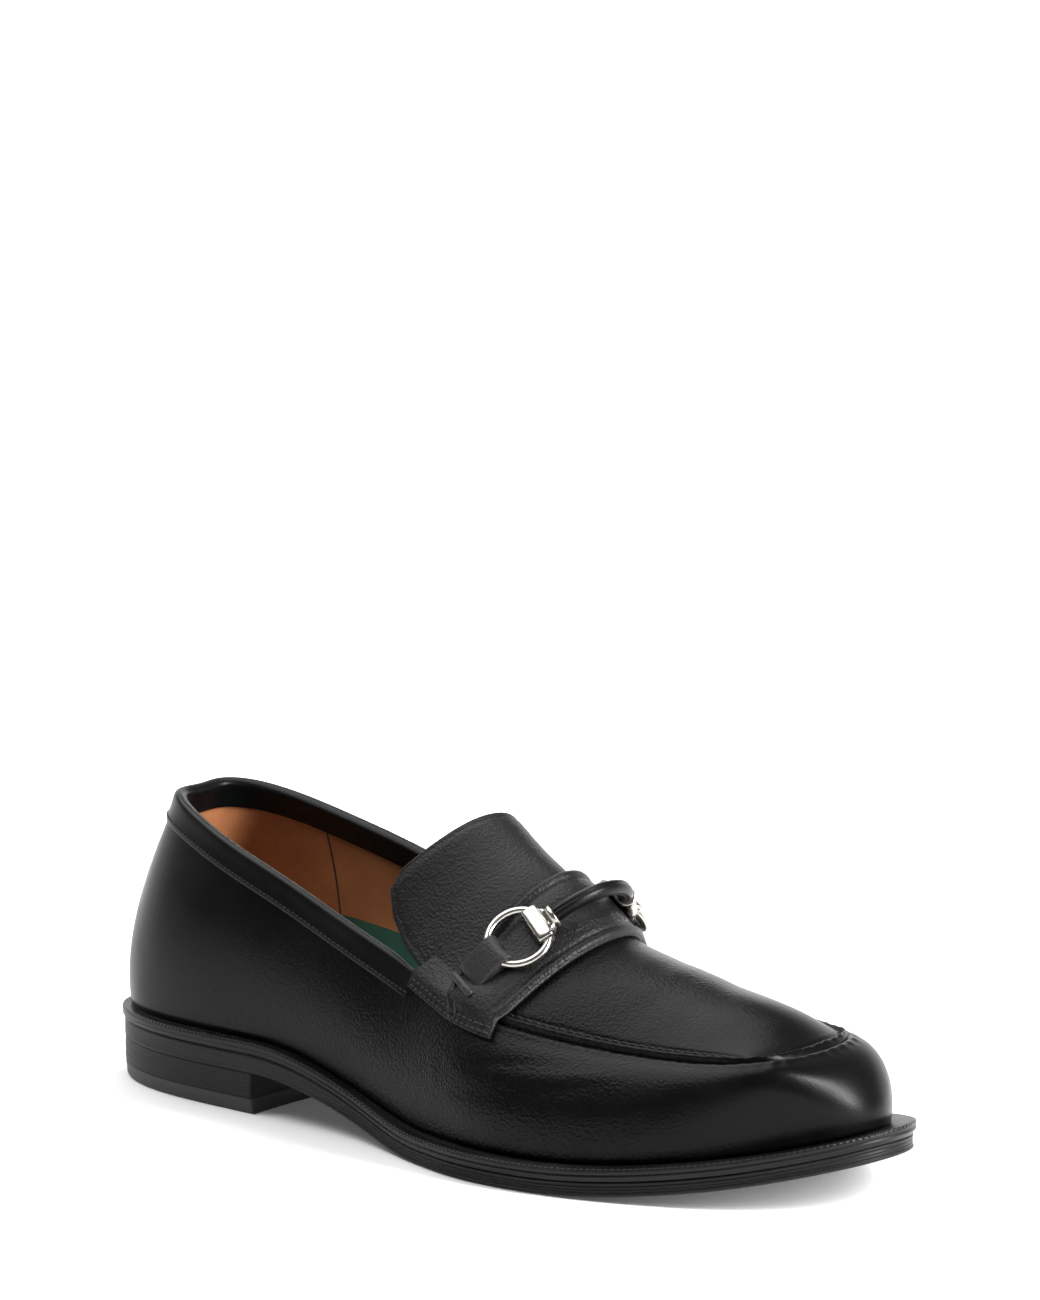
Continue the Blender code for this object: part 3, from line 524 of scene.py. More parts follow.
# Upper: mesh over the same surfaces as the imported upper, with fine rows beside the apron seam
EDGE_STEP, EDGE_ROWS = 0.5 * MM, 16
APRON_LENGTH, APRON_WIDTH = 95.0 * MM, 60.0 * MM
edge = np.arange(EDGE_ROWS + 1) * EDGE_STEP
front_share = 1.0 - edge[::-1] / APRON_LENGTH
row_share = np.concatenate([steps(0.0, front_share[0], 62)[:-1], front_share])
v_share = fine_ends(34, EDGE_ROWS, edge[-1] / APRON_WIDTH) * 2.0 - 1.0
rear_t = steps(THROAT_IN, THROAT_OUT + ROUND, 190)[1:-1]
wall_t = np.concatenate([
    THROAT_OUT + (CORNER_OUT - THROAT_OUT) * row_share[:-1],
    CORNER_OUT + (CORNER_IN - CORNER_OUT) * (v_share[:-1] + 1.0) / 2.0,
    (THROAT_IN - (THROAT_IN - CORNER_IN) * row_share)[::-1], rear_t])
rows, across = len(row_share), len(v_share)
rib_length = run_along(wall(wall_t[:, None], steps(0.0, 1.0, 30)[None, :]), 1)[:, -1]
top_share = 1.0 - edge[None, ::-1] / rib_length[:, None]
low_share = steps(0.0, 1.0, 22)[None, :-1] * top_share[:, :1]
wall_s = np.concatenate([low_share, top_share], axis=1)
wall_points = wall(wall_t[:, None], wall_s)
around, tall = wall_s.shape
wall_index = np.arange(around * tall).reshape(around, tall)
apron_points = instep(row_share[:, None], v_share[None, :])
apron_index = around * tall + np.arange(rows * across).reshape(rows, across)
apron_index[:, 0] = wall_index[:rows, -1]
apron_index[-1, :] = wall_index[rows - 1:rows - 1 + across, -1]
apron_index[:, -1] = wall_index[rows + across - 2:2 * rows + across - 2, -1][::-1]
used, packed = np.unique(np.concatenate([wall_index.ravel(), apron_index.ravel()]), return_inverse=True)
everything = np.concatenate([wall_points.reshape(-1, 3), apron_points.reshape(-1, 3)])
upper_points = everything[used]
wall_index = packed[:around * tall].reshape(around, tall)
apron_index = packed[around * tall:].reshape(rows, across)
apron_middle = apron_index[rows // 2, across // 2]
upper_faces = grid_quads(wall_index, closed=True) + grid_quads(apron_index)
upper_faces, upper_normals = facing(upper_points, upper_faces, lambda normals: normals[apron_middle, 2])
upper_normals[wall_index[:, 0], 2] = 0.0
upper_normals = unit(upper_normals)


def seam_profile(q):
    """Relief across the apron seam; q is millimetres from it, minus on the apron."""
    return (1.25 * hump(q, -1.9, 1.25) + 0.30 * hump(q, 2.2, 1.2) - 1.35 * hump(q, 0.15, 0.55)
            - 0.55 * hump(q, -4.3, 0.60))


PUCKER_STEP = 4.4


def puckers(q, along_seam):
    """Short pleats that the seam pulls into both edges; both arguments are in millimetres."""
    turns = 2.0 * np.pi * along_seam / PUCKER_STEP
    beat = np.sin(turns) + 0.5 * np.sin(turns / 2.7)
    return 0.13 * beat * (hump(q, -1.9, 1.5) + 0.9 * hump(q, 2.6, 1.8))


# Soft creases: loop place, share up the wall, length along, width up, tilt, depth in millimetres
CREASES = (
    (9.35, 0.66, 0.55, 0.05, 0.1, -0.35), (9.75, 0.48, 0.6, 0.06, 0.16, -0.4),
    (10.15, 0.62, 0.5, 0.07, 0.12, 0.35), (8.7, 0.4, 0.7, 0.08, 0.1, -0.3),
    (10.6, 0.36, 0.55, 0.09, 0.1, 0.3), (7.6, 0.55, 0.6, 0.08, -0.12, -0.25),
    (6.6, 0.42, 0.8, 0.1, 0.06, -0.3), (20.6, 0.6, 0.55, 0.06, -0.14, -0.38),
    (20.1, 0.44, 0.6, 0.07, -0.1, 0.35), (21.4, 0.5, 0.6, 0.07, -0.12, -0.3),
    (23.0, 0.45, 0.8, 0.09, 0.1, -0.3), (4.7, 0.3, 0.9, 0.11, 0.04, 0.25),
    (25.2, 0.32, 0.9, 0.11, 0.04, 0.25),
)

relief = np.zeros(len(upper_points))
down = (1.0 - wall_s) * rib_length[:, None] / MM
seam_zone = soft((wall_t - THROAT_OUT - 0.55) / 0.35) * soft((THROAT_IN - 0.55 - wall_t) / 0.35)
top_run = run_along(wall_points[:, -1])[:, None] / MM
wall_relief = (seam_profile(down) + puckers(down, top_run)) * seam_zone[:, None]
for place, up, long, wide, tilt, depth in CREASES:
    near = wall_t[:, None] - place
    wall_relief += depth * hump(near, 0.0, long) * hump(wall_s - up - tilt * near, 0.0, wide)
relief[wall_index] = wall_relief
from_out, from_throat = run_along(apron_points, 1), run_along(apron_points)
from_in, from_front = from_out[:, -1:] - from_out, from_throat[-1:] - from_throat
from_side = np.minimum(from_out, from_in)
nearest = np.minimum(from_side, from_front) / MM
apron_zone = soft((row_share - 0.11) / 0.07)[:, None]
side_run = np.where(from_front < from_side, from_out, from_throat) / MM
apron_relief = (seam_profile(-nearest) + puckers(-nearest, side_run)) * apron_zone
# Shallow dents across the apron where the foot flexes: row, v, length across, width, depth in millimetres
FLEX = ((0.42, -0.35, 0.5, 0.045, -0.3), (0.52, 0.3, 0.5, 0.05, -0.3), (0.33, 0.1, 0.55, 0.04, -0.22),
        (0.62, -0.25, 0.55, 0.06, 0.25))
slanted_row = row_share[:, None] + 0.05 * v_share[None, :]
for at, v, long, wide, depth in FLEX:
    apron_relief += depth * hump(v_share[None, :], v, long) * hump(slanted_row, at, wide)
relief[apron_index[:-1, 1:-1]] = apron_relief[:-1, 1:-1]
make("upper_leather", thick(upper_points, upper_faces, relief * MM, 1.0 * MM, upper_normals), calf,
     "calf_leather", "upper")

# Lining: the inner layer of the same wall, coarser
lining_t = steps(THROAT_IN - 4.6, THROAT_OUT + 4.6 + ROUND, 240)
lining_s = steps(0.0, 0.995, 64)
lining_grid = wall(lining_t[:, None], lining_s[None, :])
lining_index = np.arange(lining_grid[..., 0].size).reshape(lining_grid.shape[:2])
lining_flat = lining_grid.reshape(-1, 3)
outer_spot = lining_index[0, 5]
lining_faces, lining_normals = facing(lining_flat, grid_quads(lining_index),
                                      lambda normals: normals[outer_spot, 1] * lining_flat[outer_spot, 1])
LINING_FROM, LINING_TO = 1.05 * MM, 1.9 * MM
lining_shape = thick(lining_flat, lining_faces, -LINING_FROM, LINING_TO, lining_normals)
lining = make("lining", lining_shape, tan, "calf_leather")
lining.data.materials.append(green.material)
# The green zone ends on a row and a column of the lining's own grid, so its edge is clean
GREEN_BACK, GREEN_TOP, GREEN_TOP_AT = 57.5 * MM, 50.5 * MM, 80.0 * MM
per_column = len(lining_s)
half_up = lining_grid[:, per_column // 2]
seen_at = np.argmin(np.abs(half_up[:, 0] - GREEN_TOP_AT) + np.where(half_up[:, 1] > 0.0, 0.0, 9.0))
green_row = np.interp(GREEN_TOP, lining_grid[seen_at, :, 2], np.arange(per_column))
green_columns = half_up[:, 0] > GREEN_BACK
for face, polygon in zip(lining_shape[1], lining.data.polygons):
    places = np.array(face) % len(lining_flat)
    if np.mean(places % per_column) < green_row and green_columns[places // per_column].all():
        polygon.material_index = 1


def circle(count):
    """Column of angles round a circle."""
    return 2.0 * np.pi * np.arange(count)[:, None] / count


def tube(points, radius, about=8):
    """Round tube through points."""
    points = np.asarray(points)
    way = unit(np.gradient(points, axis=0))
    side = unit(np.cross(way, np.array([0.123, 0.456, 0.881])))
    other = np.cross(way, side)
    radius = np.broadcast_to(radius, len(points))[:, None, None]
    turn = circle(about)
    return swept(points[:, None] + radius * (np.cos(turn) * side[:, None] + np.sin(turn) * other[:, None]))


def merged(shapes):
    """Several closed shapes as one."""
    points, faces, count = [], [], 0
    for p, f in shapes:
        points.append(p)
        faces += [tuple(k + count for k in face) for face in f]
        count += len(p)
    return np.concatenate(points), faces


THREAD_BEND = np.array([-1.0, -0.8, -0.4, 0.0, 0.4, 0.8, 1.0])
THREAD_WIDTH = np.array([0.55, 0.85, 1.0, 1.0, 1.0, 0.85, 0.55])


def stitch_row(name, line, normals, pitch, share, radius, slot="smooth_leather"):
    """Row of sewn stitches on a line; each is a short bent thread that dips at its ends."""
    place = run_along(line)
    at = np.arange(pitch / 2.0, place[-1], pitch)
    spots = read_line(at, place, line)
    ways = unit(read_line(at + 1e-4, place, line) - read_line(at - 1e-4, place, line))
    rise = radius * (0.55 - 0.90 * np.abs(THREAD_BEND) ** 3)
    shapes = []
    for spot, way, normal in zip(spots, ways, unit(read_line(at, place, normals))):
        points = spot + way * (THREAD_BEND[:, None] * pitch * share / 2.0) + normal * rise[:, None]
        shapes.append(tube(points, radius * THREAD_WIDTH, 6))
    outward(name, merged(shapes), thread, slot)


# Seam down the lining, seen through the collar
seam_s = steps(0.25, 0.9, 40)
seam_line = wall(26.50 + 0.26 * (seam_s - 0.5), seam_s)
seam_side = wall(26.55, seam_s) - wall(26.45, seam_s)
seam_out = unit(np.cross(np.gradient(seam_line, axis=0), seam_side))
seam_out *= np.sign(seam_out[0, 1])
outward("lining_seam", tube(seam_line - seam_out * 1.92 * MM, 0.32 * MM), brown_thread, "calf_leather")


def soft_sheet(surface, u, v, low, high, radius, relief=None):
    """Curved plate with rounded edges; relief(distances) adds millimetres to its top."""
    grid = surface(u[:, None], v[None, :])
    from_u, from_v = run_along(grid), run_along(grid, 1)
    to_u, to_v = from_u[-1:] - from_u, from_v[:, -1:] - from_v
    near = np.minimum(np.minimum(from_u, to_u), np.minimum(from_v, to_v))
    bend = 1.0 - np.sqrt(1.0 - np.clip(1.0 - near / radius, 0.0, 1.0) ** 2)
    middle = (low + high) / 2.0
    top = high - (high - middle) * bend
    bottom = low + (middle - low) * bend
    if relief is not None:
        top = top + relief(from_u / MM, to_u / MM, from_v / MM, to_v / MM) * MM * (1.0 - bend)
    index = np.arange(len(u) * len(v)).reshape(len(u), len(v))
    flat = grid.reshape(-1, 3)
    center = index[len(u) // 2, len(v) // 2]
    outward_way = flat[center] - np.array([0.5 * LENGTH, 0.0, 0.02])
    faces, normals = facing(flat, grid_quads(index), lambda normals: normals[center] @ outward_way)
    return thick(flat, faces, top.ravel(), -bottom.ravel(), normals)


def strap_surface(row, v):
    """Instep surface carried on down the side walls past v = -1 and 1."""
    row, v = np.broadcast_arrays(np.asarray(row, float), np.asarray(v, float))
    top = instep(row, np.clip(v, -1.0, 1.0))
    out_t, in_t = side_places(row)
    down_share = 1.0 - np.clip(np.abs(v) - 1.0, 0.0, 1.0)
    side = np.where((v < 0.0)[..., None], wall(out_t, down_share), wall(in_t, down_share))
    return np.where((np.abs(v) > 1.0)[..., None], side, top)


# Tongue
tongue_shape = soft_sheet(
    lambda row, v: instep(row, v * 0.975), -0.012 - 0.988 * fine_ends(46, 8, 0.05),
    fine_ends(60, 8, 0.03) * 2.0 - 1.0, -TONGUE, 0.0, 1.0 * MM,
    lambda front, back, out, home: -0.16 * hump(np.minimum(np.minimum(out, home), back), 2.6, 0.5))
make("tongue_leather", tongue_shape, grainy, "grain_leather", "tongue")

# Saddle strap: padded band with turned edges, laid over thin wings that run down from the tongue
# Across, back edge, front edge as rows of the instep
STRAP_EDGES = (
    (-1.2, 0.0, 0.2), (-1.03, -0.03, 0.2), (-0.94, -0.085, 0.195), (-0.86, -0.125, 0.18),
    (-0.76, -0.15, 0.16), (-0.6, -0.178, 0.13), (-0.42, -0.205, 0.105), (0.0, -0.22, 0.085),
    (0.42, -0.21, 0.09), (0.65, -0.185, 0.1), (0.86, -0.14, 0.13), (1.03, -0.07, 0.16),
    (1.2, -0.04, 0.17),
)
WING_BACK = -0.245
strap_knots, *strap_sides = np.array(STRAP_EDGES).T
strap_back, strap_front = (open_curve(strap_knots, side) for side in strap_sides)


def strap_end(row):
    """How far down the side the wings and the strap reach."""
    return 1.10 + 0.09 * (row + 0.24) / 0.43


def strap_layout(share, across):
    """Strap surface between its back and front edges; across runs -1 to 1 from end to end."""
    v = across * (strap_end(-0.02) + (strap_end(0.19) - strap_end(-0.02)) * share)
    return strap_surface(strap_back(v) + (strap_front(v) - strap_back(v)) * share, v)


def strap_relief(back, front, out_end, in_end):
    """Groove behind each turned edge, the padded middle, and the sewn-down ends."""
    edge_near = np.minimum(back, front)
    end_near = np.minimum(out_end, in_end)
    loose = soft((end_near - 4.0) / 8.0)
    return ((0.30 * hump(edge_near, 1.6, 1.0) - 0.70 * hump(edge_near, 3.6, 0.55)) * (0.35 + 0.65 * loose)
            + 0.9 * soft((edge_near - 3.4) / 6.0) * loose - 1.15 * (1.0 - soft((end_near - 1.0) / 8.0)))


strap_shape = soft_sheet(
    strap_layout, fine_ends(36, 8, 0.05), fine_ends(150, 8, 0.010) * 2.0 - 1.0, STRAP_CLEAR - 0.45 * MM,
    STRAP_CLEAR + STRAP, 1.2 * MM, strap_relief)
make("strap_leather", strap_shape, grainy, "grain_leather", "saddle_strap")

SIDES = (("lateral", -1.0), ("medial", 1.0))
WING_LIFT = 1.55 * MM
for name, sign in SIDES:
    def wing_surface(share, across, sign=sign):
        """Wing from under the tongue's edge down the side."""
        row = WING_BACK + (0.04 - WING_BACK) * share
        return strap_surface(row, sign * (0.80 + (strap_end(row) - 0.80) * across))

    wing_v = fine_ends(30, 6, 0.04)
    wing_high = -0.45 * MM + (WING_LIFT + 0.45 * MM) * soft((wing_v - 0.12) / 0.62)
    wing_shape = soft_sheet(wing_surface, fine_ends(30, 6, 0.03), wing_v, -0.9 * MM, wing_high[None, :],
                            0.5 * MM)
    make("wing_leather_" + name, wing_shape, grainy, "grain_leather")


def wall_frames(t, s):
    """Points, outward normals and upward directions on the side wall."""
    here = wall(t, s)
    up = unit(here - wall(t, s - 0.01))
    sideways = unit(wall(t + 0.02, s) - wall(t - 0.02, s))
    out = unit(np.cross(up, sideways))
    x, y = out_of_plan(np.broadcast_to(t, np.broadcast_shapes(np.shape(t), np.shape(s))))
    flat = np.stack([x, y, np.zeros_like(x)], -1)
    return here, np.where(((out * flat).sum(-1) < 0.0)[..., None], -out, out), up


# Collar binding: folded leather round the top edge
BINDING_DEPTH = 7.5 * MM
binding_t = steps(THROAT_IN + 0.98, THROAT_OUT - 0.98 + ROUND, 300)
binding_full = 0.25 + 0.75 * soft(np.minimum(binding_t - binding_t[0], binding_t[-1] - binding_t) / 0.40)
body = binding_full[:, None, None]
height = wall(binding_t, 1.0)[:, 2] - wall(binding_t, 0.0)[:, 2]
leg = np.array([1.0, 0.985, 0.95, 0.8, 0.6, 0.4, 0.2, 0.05])
leg_lift = np.array([0.05, 0.42, 0.60, 0.66, 0.62, 0.72, 0.90, 1.0])
leg_s = 1.0 - leg[None, :] * BINDING_DEPTH / height[:, None]
points, out, up = wall_frames(binding_t[:, None], leg_s)
top, top_out, top_up = wall_frames(binding_t, np.ones_like(binding_t))
outer = points + out * (GAP * 0.3 + (GAP * 0.7 + BINDING) * leg_lift[None, :, None] * body)
inner_leg = (points - out * (LEATHER + GAP + BINDING * leg_lift[None, :, None] * body))[:, ::-1]
turn = np.radians(steps(12.0, 168.0, 10))
middle = top - top_out * LEATHER / 2.0
half = LEATHER / 2.0 + (GAP + BINDING) * body
crown = (middle[:, None] + top_out[:, None] * half * np.cos(turn)[None, :, None]
         + top_up[:, None] * (GAP + BINDING) * 1.25 * body * np.sin(turn)[None, :, None])
back_in = points[:, :-1] - out[:, :-1] * (LEATHER + GAP * 0.1)
back_out = (points[:, :-1] + out[:, :-1] * GAP * 0.1)[:, ::-1]
under = np.stack([top - top_out * (LEATHER + GAP * 0.1), top + top_out * GAP * 0.1], 1)
under = under + top_up[:, None] * GAP * 0.2
outward("binding_leather", swept(np.concatenate([outer, crown, inner_leg, back_in, under, back_out], 1)),
        smooth_black, "smooth_leather", "collar_binding")

# Back stay
stay_shape = soft_sheet(wall, steps(-0.55, 0.55, 36), 0.60 + 0.27 * fine_ends(24, 6, 0.08), GAP * 0.4,
                        GAP + 1.0 * MM, 0.8 * MM)
make("stay_leather", stay_shape, smooth_black, "smooth_leather", "back_stay")

# Sole layers; the ribs fade out behind the forepart
sole_t = steps(0.0, ROUND, 480)[:-1]
sole_edge_xy = np.stack(sole_outline(sole_t), -1)
arc = run_along(sole_edge_xy)
rib_fade = 0.10 + 0.90 * soft((sole_edge_xy[:, 0] / LENGTH - 0.34) / 0.16)


def layer(profile, inset_of, bottom, top):
    """Layer that follows the sole, with its length and height as UV."""
    rings, uv = [], []
    for share, roundness, rib in profile:
        x, y = inset_of(roundness + rib * rib_fade)
        z = bottom(x) + (top(x) - bottom(x)) * share
        rings.append(np.stack([x, y, z], -1))
        uv.append(np.stack([arc, z - bottom(x)], -1))
    points, faces = swept(rings)
    faces = faces[:-2]
    size = len(rings[0])
    last = (len(rings) - 1) * size
    for j in range(size // 2):
        strip = tuple(dict.fromkeys((j, j + 1, (size - j - 1) % size, (size - j) % size)))
        faces.append(strip)
        faces.append(tuple(last + k for k in reversed(strip)))
    return (points, faces), np.concatenate(uv)


def insole_edge(inset):
    """Edge of the insole, inside the wall of the upper; inset is in millimetres."""
    return sole_outline(sole_t, station["shelf"](sole_t) * BALL_WIDTH + LEATHER + (0.35 + inset) * MM)


# Side profiles: share of the thickness, rounding and rib depth in millimetres
SOLE_SIDE = (
    (0.0, 1.3, 0.0), (0.03, 0.6, 0.0), (0.08, 0.25, 0.0), (0.15, 0.15, 0.0), (0.21, 0.15, 0.05),
    (0.26, 0.15, 0.45), (0.31, 0.15, 0.6), (0.36, 0.15, 0.35), (0.41, 0.15, 0.2), (0.46, 0.15, 0.45),
    (0.5, 0.15, 0.6), (0.54, 0.15, 0.4), (0.61, 0.15, 0.2), (0.67, 0.15, 0.45), (0.71, 0.15, 0.6),
    (0.75, 0.15, 0.38), (0.83, 0.15, 0.12), (0.9, 0.18, 0.15), (0.96, 0.35, 0.4), (1.0, 0.6, 0.6),
)
WELT_SIDE = (
    (0.0, 1.0, 0.0), (0.06, 0.8, 0.0), (0.14, 0.75, 0.0), (0.22, 0.45, 0.0), (0.3, 0.1, 0.0),
    (0.42, 0.05, 0.0), (0.47, 0.1, 0.35), (0.52, 0.1, 0.35), (0.57, 0.05, 0.0), (0.72, 0.0, 0.0),
    (0.84, 0.05, 0.0), (0.93, 0.22, 0.0), (0.98, 0.55, 0.0), (1.0, 1.0, 0.0), (0.985, 2.2, 0.0),
    (0.97, 3.4, 0.0),
)
INSOLE_SIDE = ((0.0, 0.6, 0.0), (0.3, 0.0, 0.0), (0.85, 0.0, 0.0), (0.97, 0.25, 0.0), (1.0, 0.7, 0.0))
shape, uv = layer(SOLE_SIDE, lambda inset: sole_outline(sole_t, inset * MM), underside, outsole_top)
outward("sole_leather_layer", shape, sole_edge, "sole_leather", "outsole", uv=uv)
shape, uv = layer(WELT_SIDE, lambda inset: sole_outline(sole_t, inset * MM - WELT_REACH), outsole_top,
                  welt_top)
# Wheel marks along the welt's top edge
wheel = welt_edge.add("ShaderNodeSeparateXYZ")
welt_edge.put(welt_edge.add("ShaderNodeUVMap", uv_map="along").outputs["UV"], wheel.inputs[0])
marks = welt_edge.math("SINE", welt_edge.math("MULTIPLY", wheel.outputs["X"], 2.0 * np.pi / 0.0019), 0.0)
welt_edge.bump(marks, 0.00016, welt_edge.ramp(wheel.outputs["Y"], 0.0030, 0.0037, 0.0, 0.9))
outward("welt_layer", shape, welt_edge, "welt_leather", "welt", uv=uv)
shape, uv = layer(INSOLE_SIDE, insole_edge, lambda x: welt_top(x) + GAP, lambda x: welt_top(x) + GAP + INSOLE)
outward("sock", shape, green, "lining_green", "insole", uv=uv)

# Heel
BREAST = 0.272
BREAST_HOLLOW = 2.0 * MM
near_breast = np.interp(BREAST, columns["sole_x"][:8], np.arange(8.0))
far_breast = np.interp(-BREAST, -columns["sole_x"][22:30], np.arange(22.0, 30.0))


def heel_ring(z, inset):
    """Ring of the heel at height z."""
    x, y = sole_outline(steps(far_breast - ROUND, near_breast, 180), inset)
    v = steps(-1.0, 1.0, 60)[1:-1]
    line_y = y[-1] + (y[0] - y[-1]) * (v + 1.0) / 2.0
    line_x = x[-1] + (x[0] - x[-1]) * (v + 1.0) / 2.0 - BREAST_HOLLOW * (1.0 - v ** 2)
    return np.stack([np.r_[x, line_x], np.r_[y, line_y], np.full(len(x) + len(v), z)], -1)


def heel_piece(name, rows_of, shade, slot, node):
    """Heel block with its length and height as UV."""
    rings = [heel_ring(z, inset) for z, inset in rows_of]
    place = run_along(rings[0])
    uv = np.concatenate([np.stack([place, np.full(len(place), z)], -1) for z, inset in rows_of])
    outward(name, swept(rings), shade, slot, node, uv=uv)


stack_rows = [(LIFT_HEIGHT + 0.05 * MM, 0.55 * MM), (LIFT_HEIGHT + 0.3 * MM, 0.38 * MM)]
for k, z in enumerate(steps(LIFT_HEIGHT + 0.9 * MM, HEEL_HEIGHT - 0.9 * MM, 20)):
    stack_rows.append((z, (0.32 + 0.035 * (k % 5 == 0)) * MM))
stack_rows += [(HEEL_HEIGHT - 0.4 * MM, 0.30 * MM), (HEEL_HEIGHT + 0.6 * MM, 0.30 * MM)]
heel_piece("stacked_heel", stack_rows, stack_edge, "stack_leather", "heel_stack")
lift_rows = [(0.0, 1.5 * MM), (0.35 * MM, 1.0 * MM), (0.9 * MM, 0.75 * MM), (2.6 * MM, 0.65 * MM),
             (4.3 * MM, 0.42 * MM), (4.8 * MM, 0.42 * MM), (LIFT_HEIGHT, 0.55 * MM)]
heel_piece("lift_layer", lift_rows, lift, "lift_rubber", "top_lift")

# Bit
BIT_ROW, RING_AT, TAB_FOOT, TAB_ROW = -0.069, 0.572, 0.84, -0.028
TAB_CLEAR, BAR_CLEAR, BAR_RISE = 0.9 * MM, 5.6 * MM, 4.0 * MM
RING_LIFT = GAP + TAB_LEATHER + 0.4 * MM + WIRE / 2.0


def strap_frame(v, row=BIT_ROW):
    """Point on top of the strap, its normal, and the way down the side."""
    row, v = np.asarray(row), np.asarray(v)
    across_way = strap_surface(row, v + 0.02) - strap_surface(row, v - 0.02)
    normal = unit(np.cross(strap_surface(row + 0.02, v) - strap_surface(row - 0.02, v), across_way))
    if normal[2] < 0.0:
        normal = -normal
    return (strap_surface(row, v) + normal * (STRAP_CLEAR + STRAP), normal,
            unit(across_way) * (1.0 if v > 0.0 else -1.0))


def bezier(a, b, c, d, k):
    """Point and direction on a cubic curve."""
    j = 1 - k
    return (a * j ** 3 + 3 * b * k * j ** 2 + 3 * c * k ** 2 * j + d * k ** 3,
            unit((b - a) * j ** 2 + 2 * (c - b) * k * j + (d - c) * k ** 2))


def ring_shape(center, normal, side, radius, wire):
    """Wire ring round the center."""
    other = np.cross(normal, side)
    turn = circle(24)
    rings = []
    for a in circle(120):
        out = np.cos(a) * side + np.sin(a) * other
        rings.append(center + out * radius + wire / 2.0 * (np.cos(turn) * out + np.sin(turn) * normal))
    return swept(rings, closed=True)


# The leather tab is drawn a little longer and wider than its plain solid
TAB_SLACK, TAB_BREADTH = 0.055, TAB_WIDTH * 1.28
ends = {}
for name, sign in SIDES:
    spot, normal, down_side = strap_frame(sign * RING_AT)
    center = spot + normal * RING_LIFT
    outward("bit_ring_" + name, ring_shape(center, normal, down_side, RING_RADIUS, WIRE), metal,
            "bit_metal", "ring_" + name)
    ends[name] = (center - down_side * RING_RADIUS, down_side, normal)
    foot, foot_normal = strap_frame(sign * (TAB_FOOT + TAB_SLACK), TAB_ROW)[:2]
    tab_way = unit((foot - center) - normal * ((foot - center) @ normal))
    tab_side = np.cross(normal, tab_way)
    loop = WIRE / 2.0 + 0.15 * MM + TAB_LEATHER
    sections = []
    for w in np.r_[-1.0, -0.985, -0.93, steps(-0.85, 0.85, 14), 0.93, 0.985, 1.0]:
        sag = RING_RADIUS - np.sqrt(RING_RADIUS ** 2 - (w * TAB_BREADTH / 2.0) ** 2)
        shrink = 0.45 * MM * (1.0 - np.sqrt(max(0.0, 1.0 - max(0.0, (abs(w) - 0.85) / 0.15) ** 2)))
        ring_point = center + tab_way * (RING_RADIUS - sag * 0.5 - 1.2 * MM)
        arc_points = [ring_point + (loop - shrink) * (np.cos(a) * tab_way + np.sin(a) * normal)
                      for a in np.radians(steps(80.0, 285.0, 22))]
        start_low, start_high = arc_points[-1], arc_points[0]
        end_low = foot + foot_normal * (TAB_CLEAR * 0.2 - 0.6 * MM)
        end_high = foot + foot_normal * (TAB_CLEAR * 0.5 + TAB_LEATHER - shrink)
        low = [start_low * (1 - k) + end_low * k for k in (0.25, 0.5, 0.75)]
        high = [end_high * (1 - k) + start_high * k + normal * 0.5 * MM * np.sin(np.pi * k)
                for k in (0.2, 0.4, 0.6, 0.8)]
        tip = [end_low, (end_low + end_high) / 2.0 + tab_way * 0.3 * MM, end_high]
        sections.append(np.array(arc_points + low + tip + high) + tab_side * (w * TAB_BREADTH / 2.0))
    # The tab and its keeper are drawn in the paler leather whose colour stands in for painted light
    outward("bit_tab_" + name, swept(sections), tab_leather, "smooth_leather", "tab_" + name)
    # Keeper: short leather bar beyond the slit that the tab goes down into
    keeper_middle = foot + tab_way * 2.6 * MM
    keeper_side = unit(tab_side - foot_normal * (tab_side @ foot_normal)) * (TAB_BREADTH / 2.0 + 0.4 * MM)
    keeper_line = [keeper_middle + foot_normal * (0.75 - 0.7 * abs(k) ** 6) * MM + keeper_side * k
                   for k in steps(-1.0, 1.0, 16)]
    outward("tab_keeper_" + name, tube(keeper_line, 1.35 * MM, 14), tab_leather, "smooth_leather")

start, start_down, start_normal = ends["lateral"]
finish, finish_down, finish_normal = ends["medial"]
crest, crest_normal = strap_frame(0.0)[:2]
crest = crest + crest_normal * (BAR_CLEAR + BAR_THICKNESS / 2.0)
away = -(start_down + finish_down) / 2.0
rise_share = (start_normal + finish_normal) @ crest_normal / 2.0
reach = (crest - (start + finish) / 2.0) @ crest_normal / 0.75 - BAR_RISE * rise_share
reach = reach / (away @ crest_normal)
path = (start, start - start_down * reach + start_normal * BAR_RISE,
        finish - finish_down * reach + finish_normal * BAR_RISE, finish)
span = np.linalg.norm(start - finish)


def bar_frame(share):
    """Point, direction, side and up on the line of the bar."""
    point, way = bezier(*path, share)
    up = unit(start_normal * (1.0 - share) + finish_normal * share + crest_normal * 0.5)
    side = unit(np.cross(up, way))
    return point, way, side, np.cross(way, side)


def soft_box(point, side, up, wide, high, power):
    """Rounded rectangle section."""
    turn = 2.0 * np.pi * (np.arange(40) + 0.5) / 40
    a = np.sign(np.cos(turn)) * np.abs(np.cos(turn)) ** (2.0 / power)
    b = np.sign(np.sin(turn)) * np.abs(np.sin(turn)) ** (2.0 / power)
    return point + side * (a * wide / 2.0)[:, None] + up * (b * high / 2.0)[:, None]


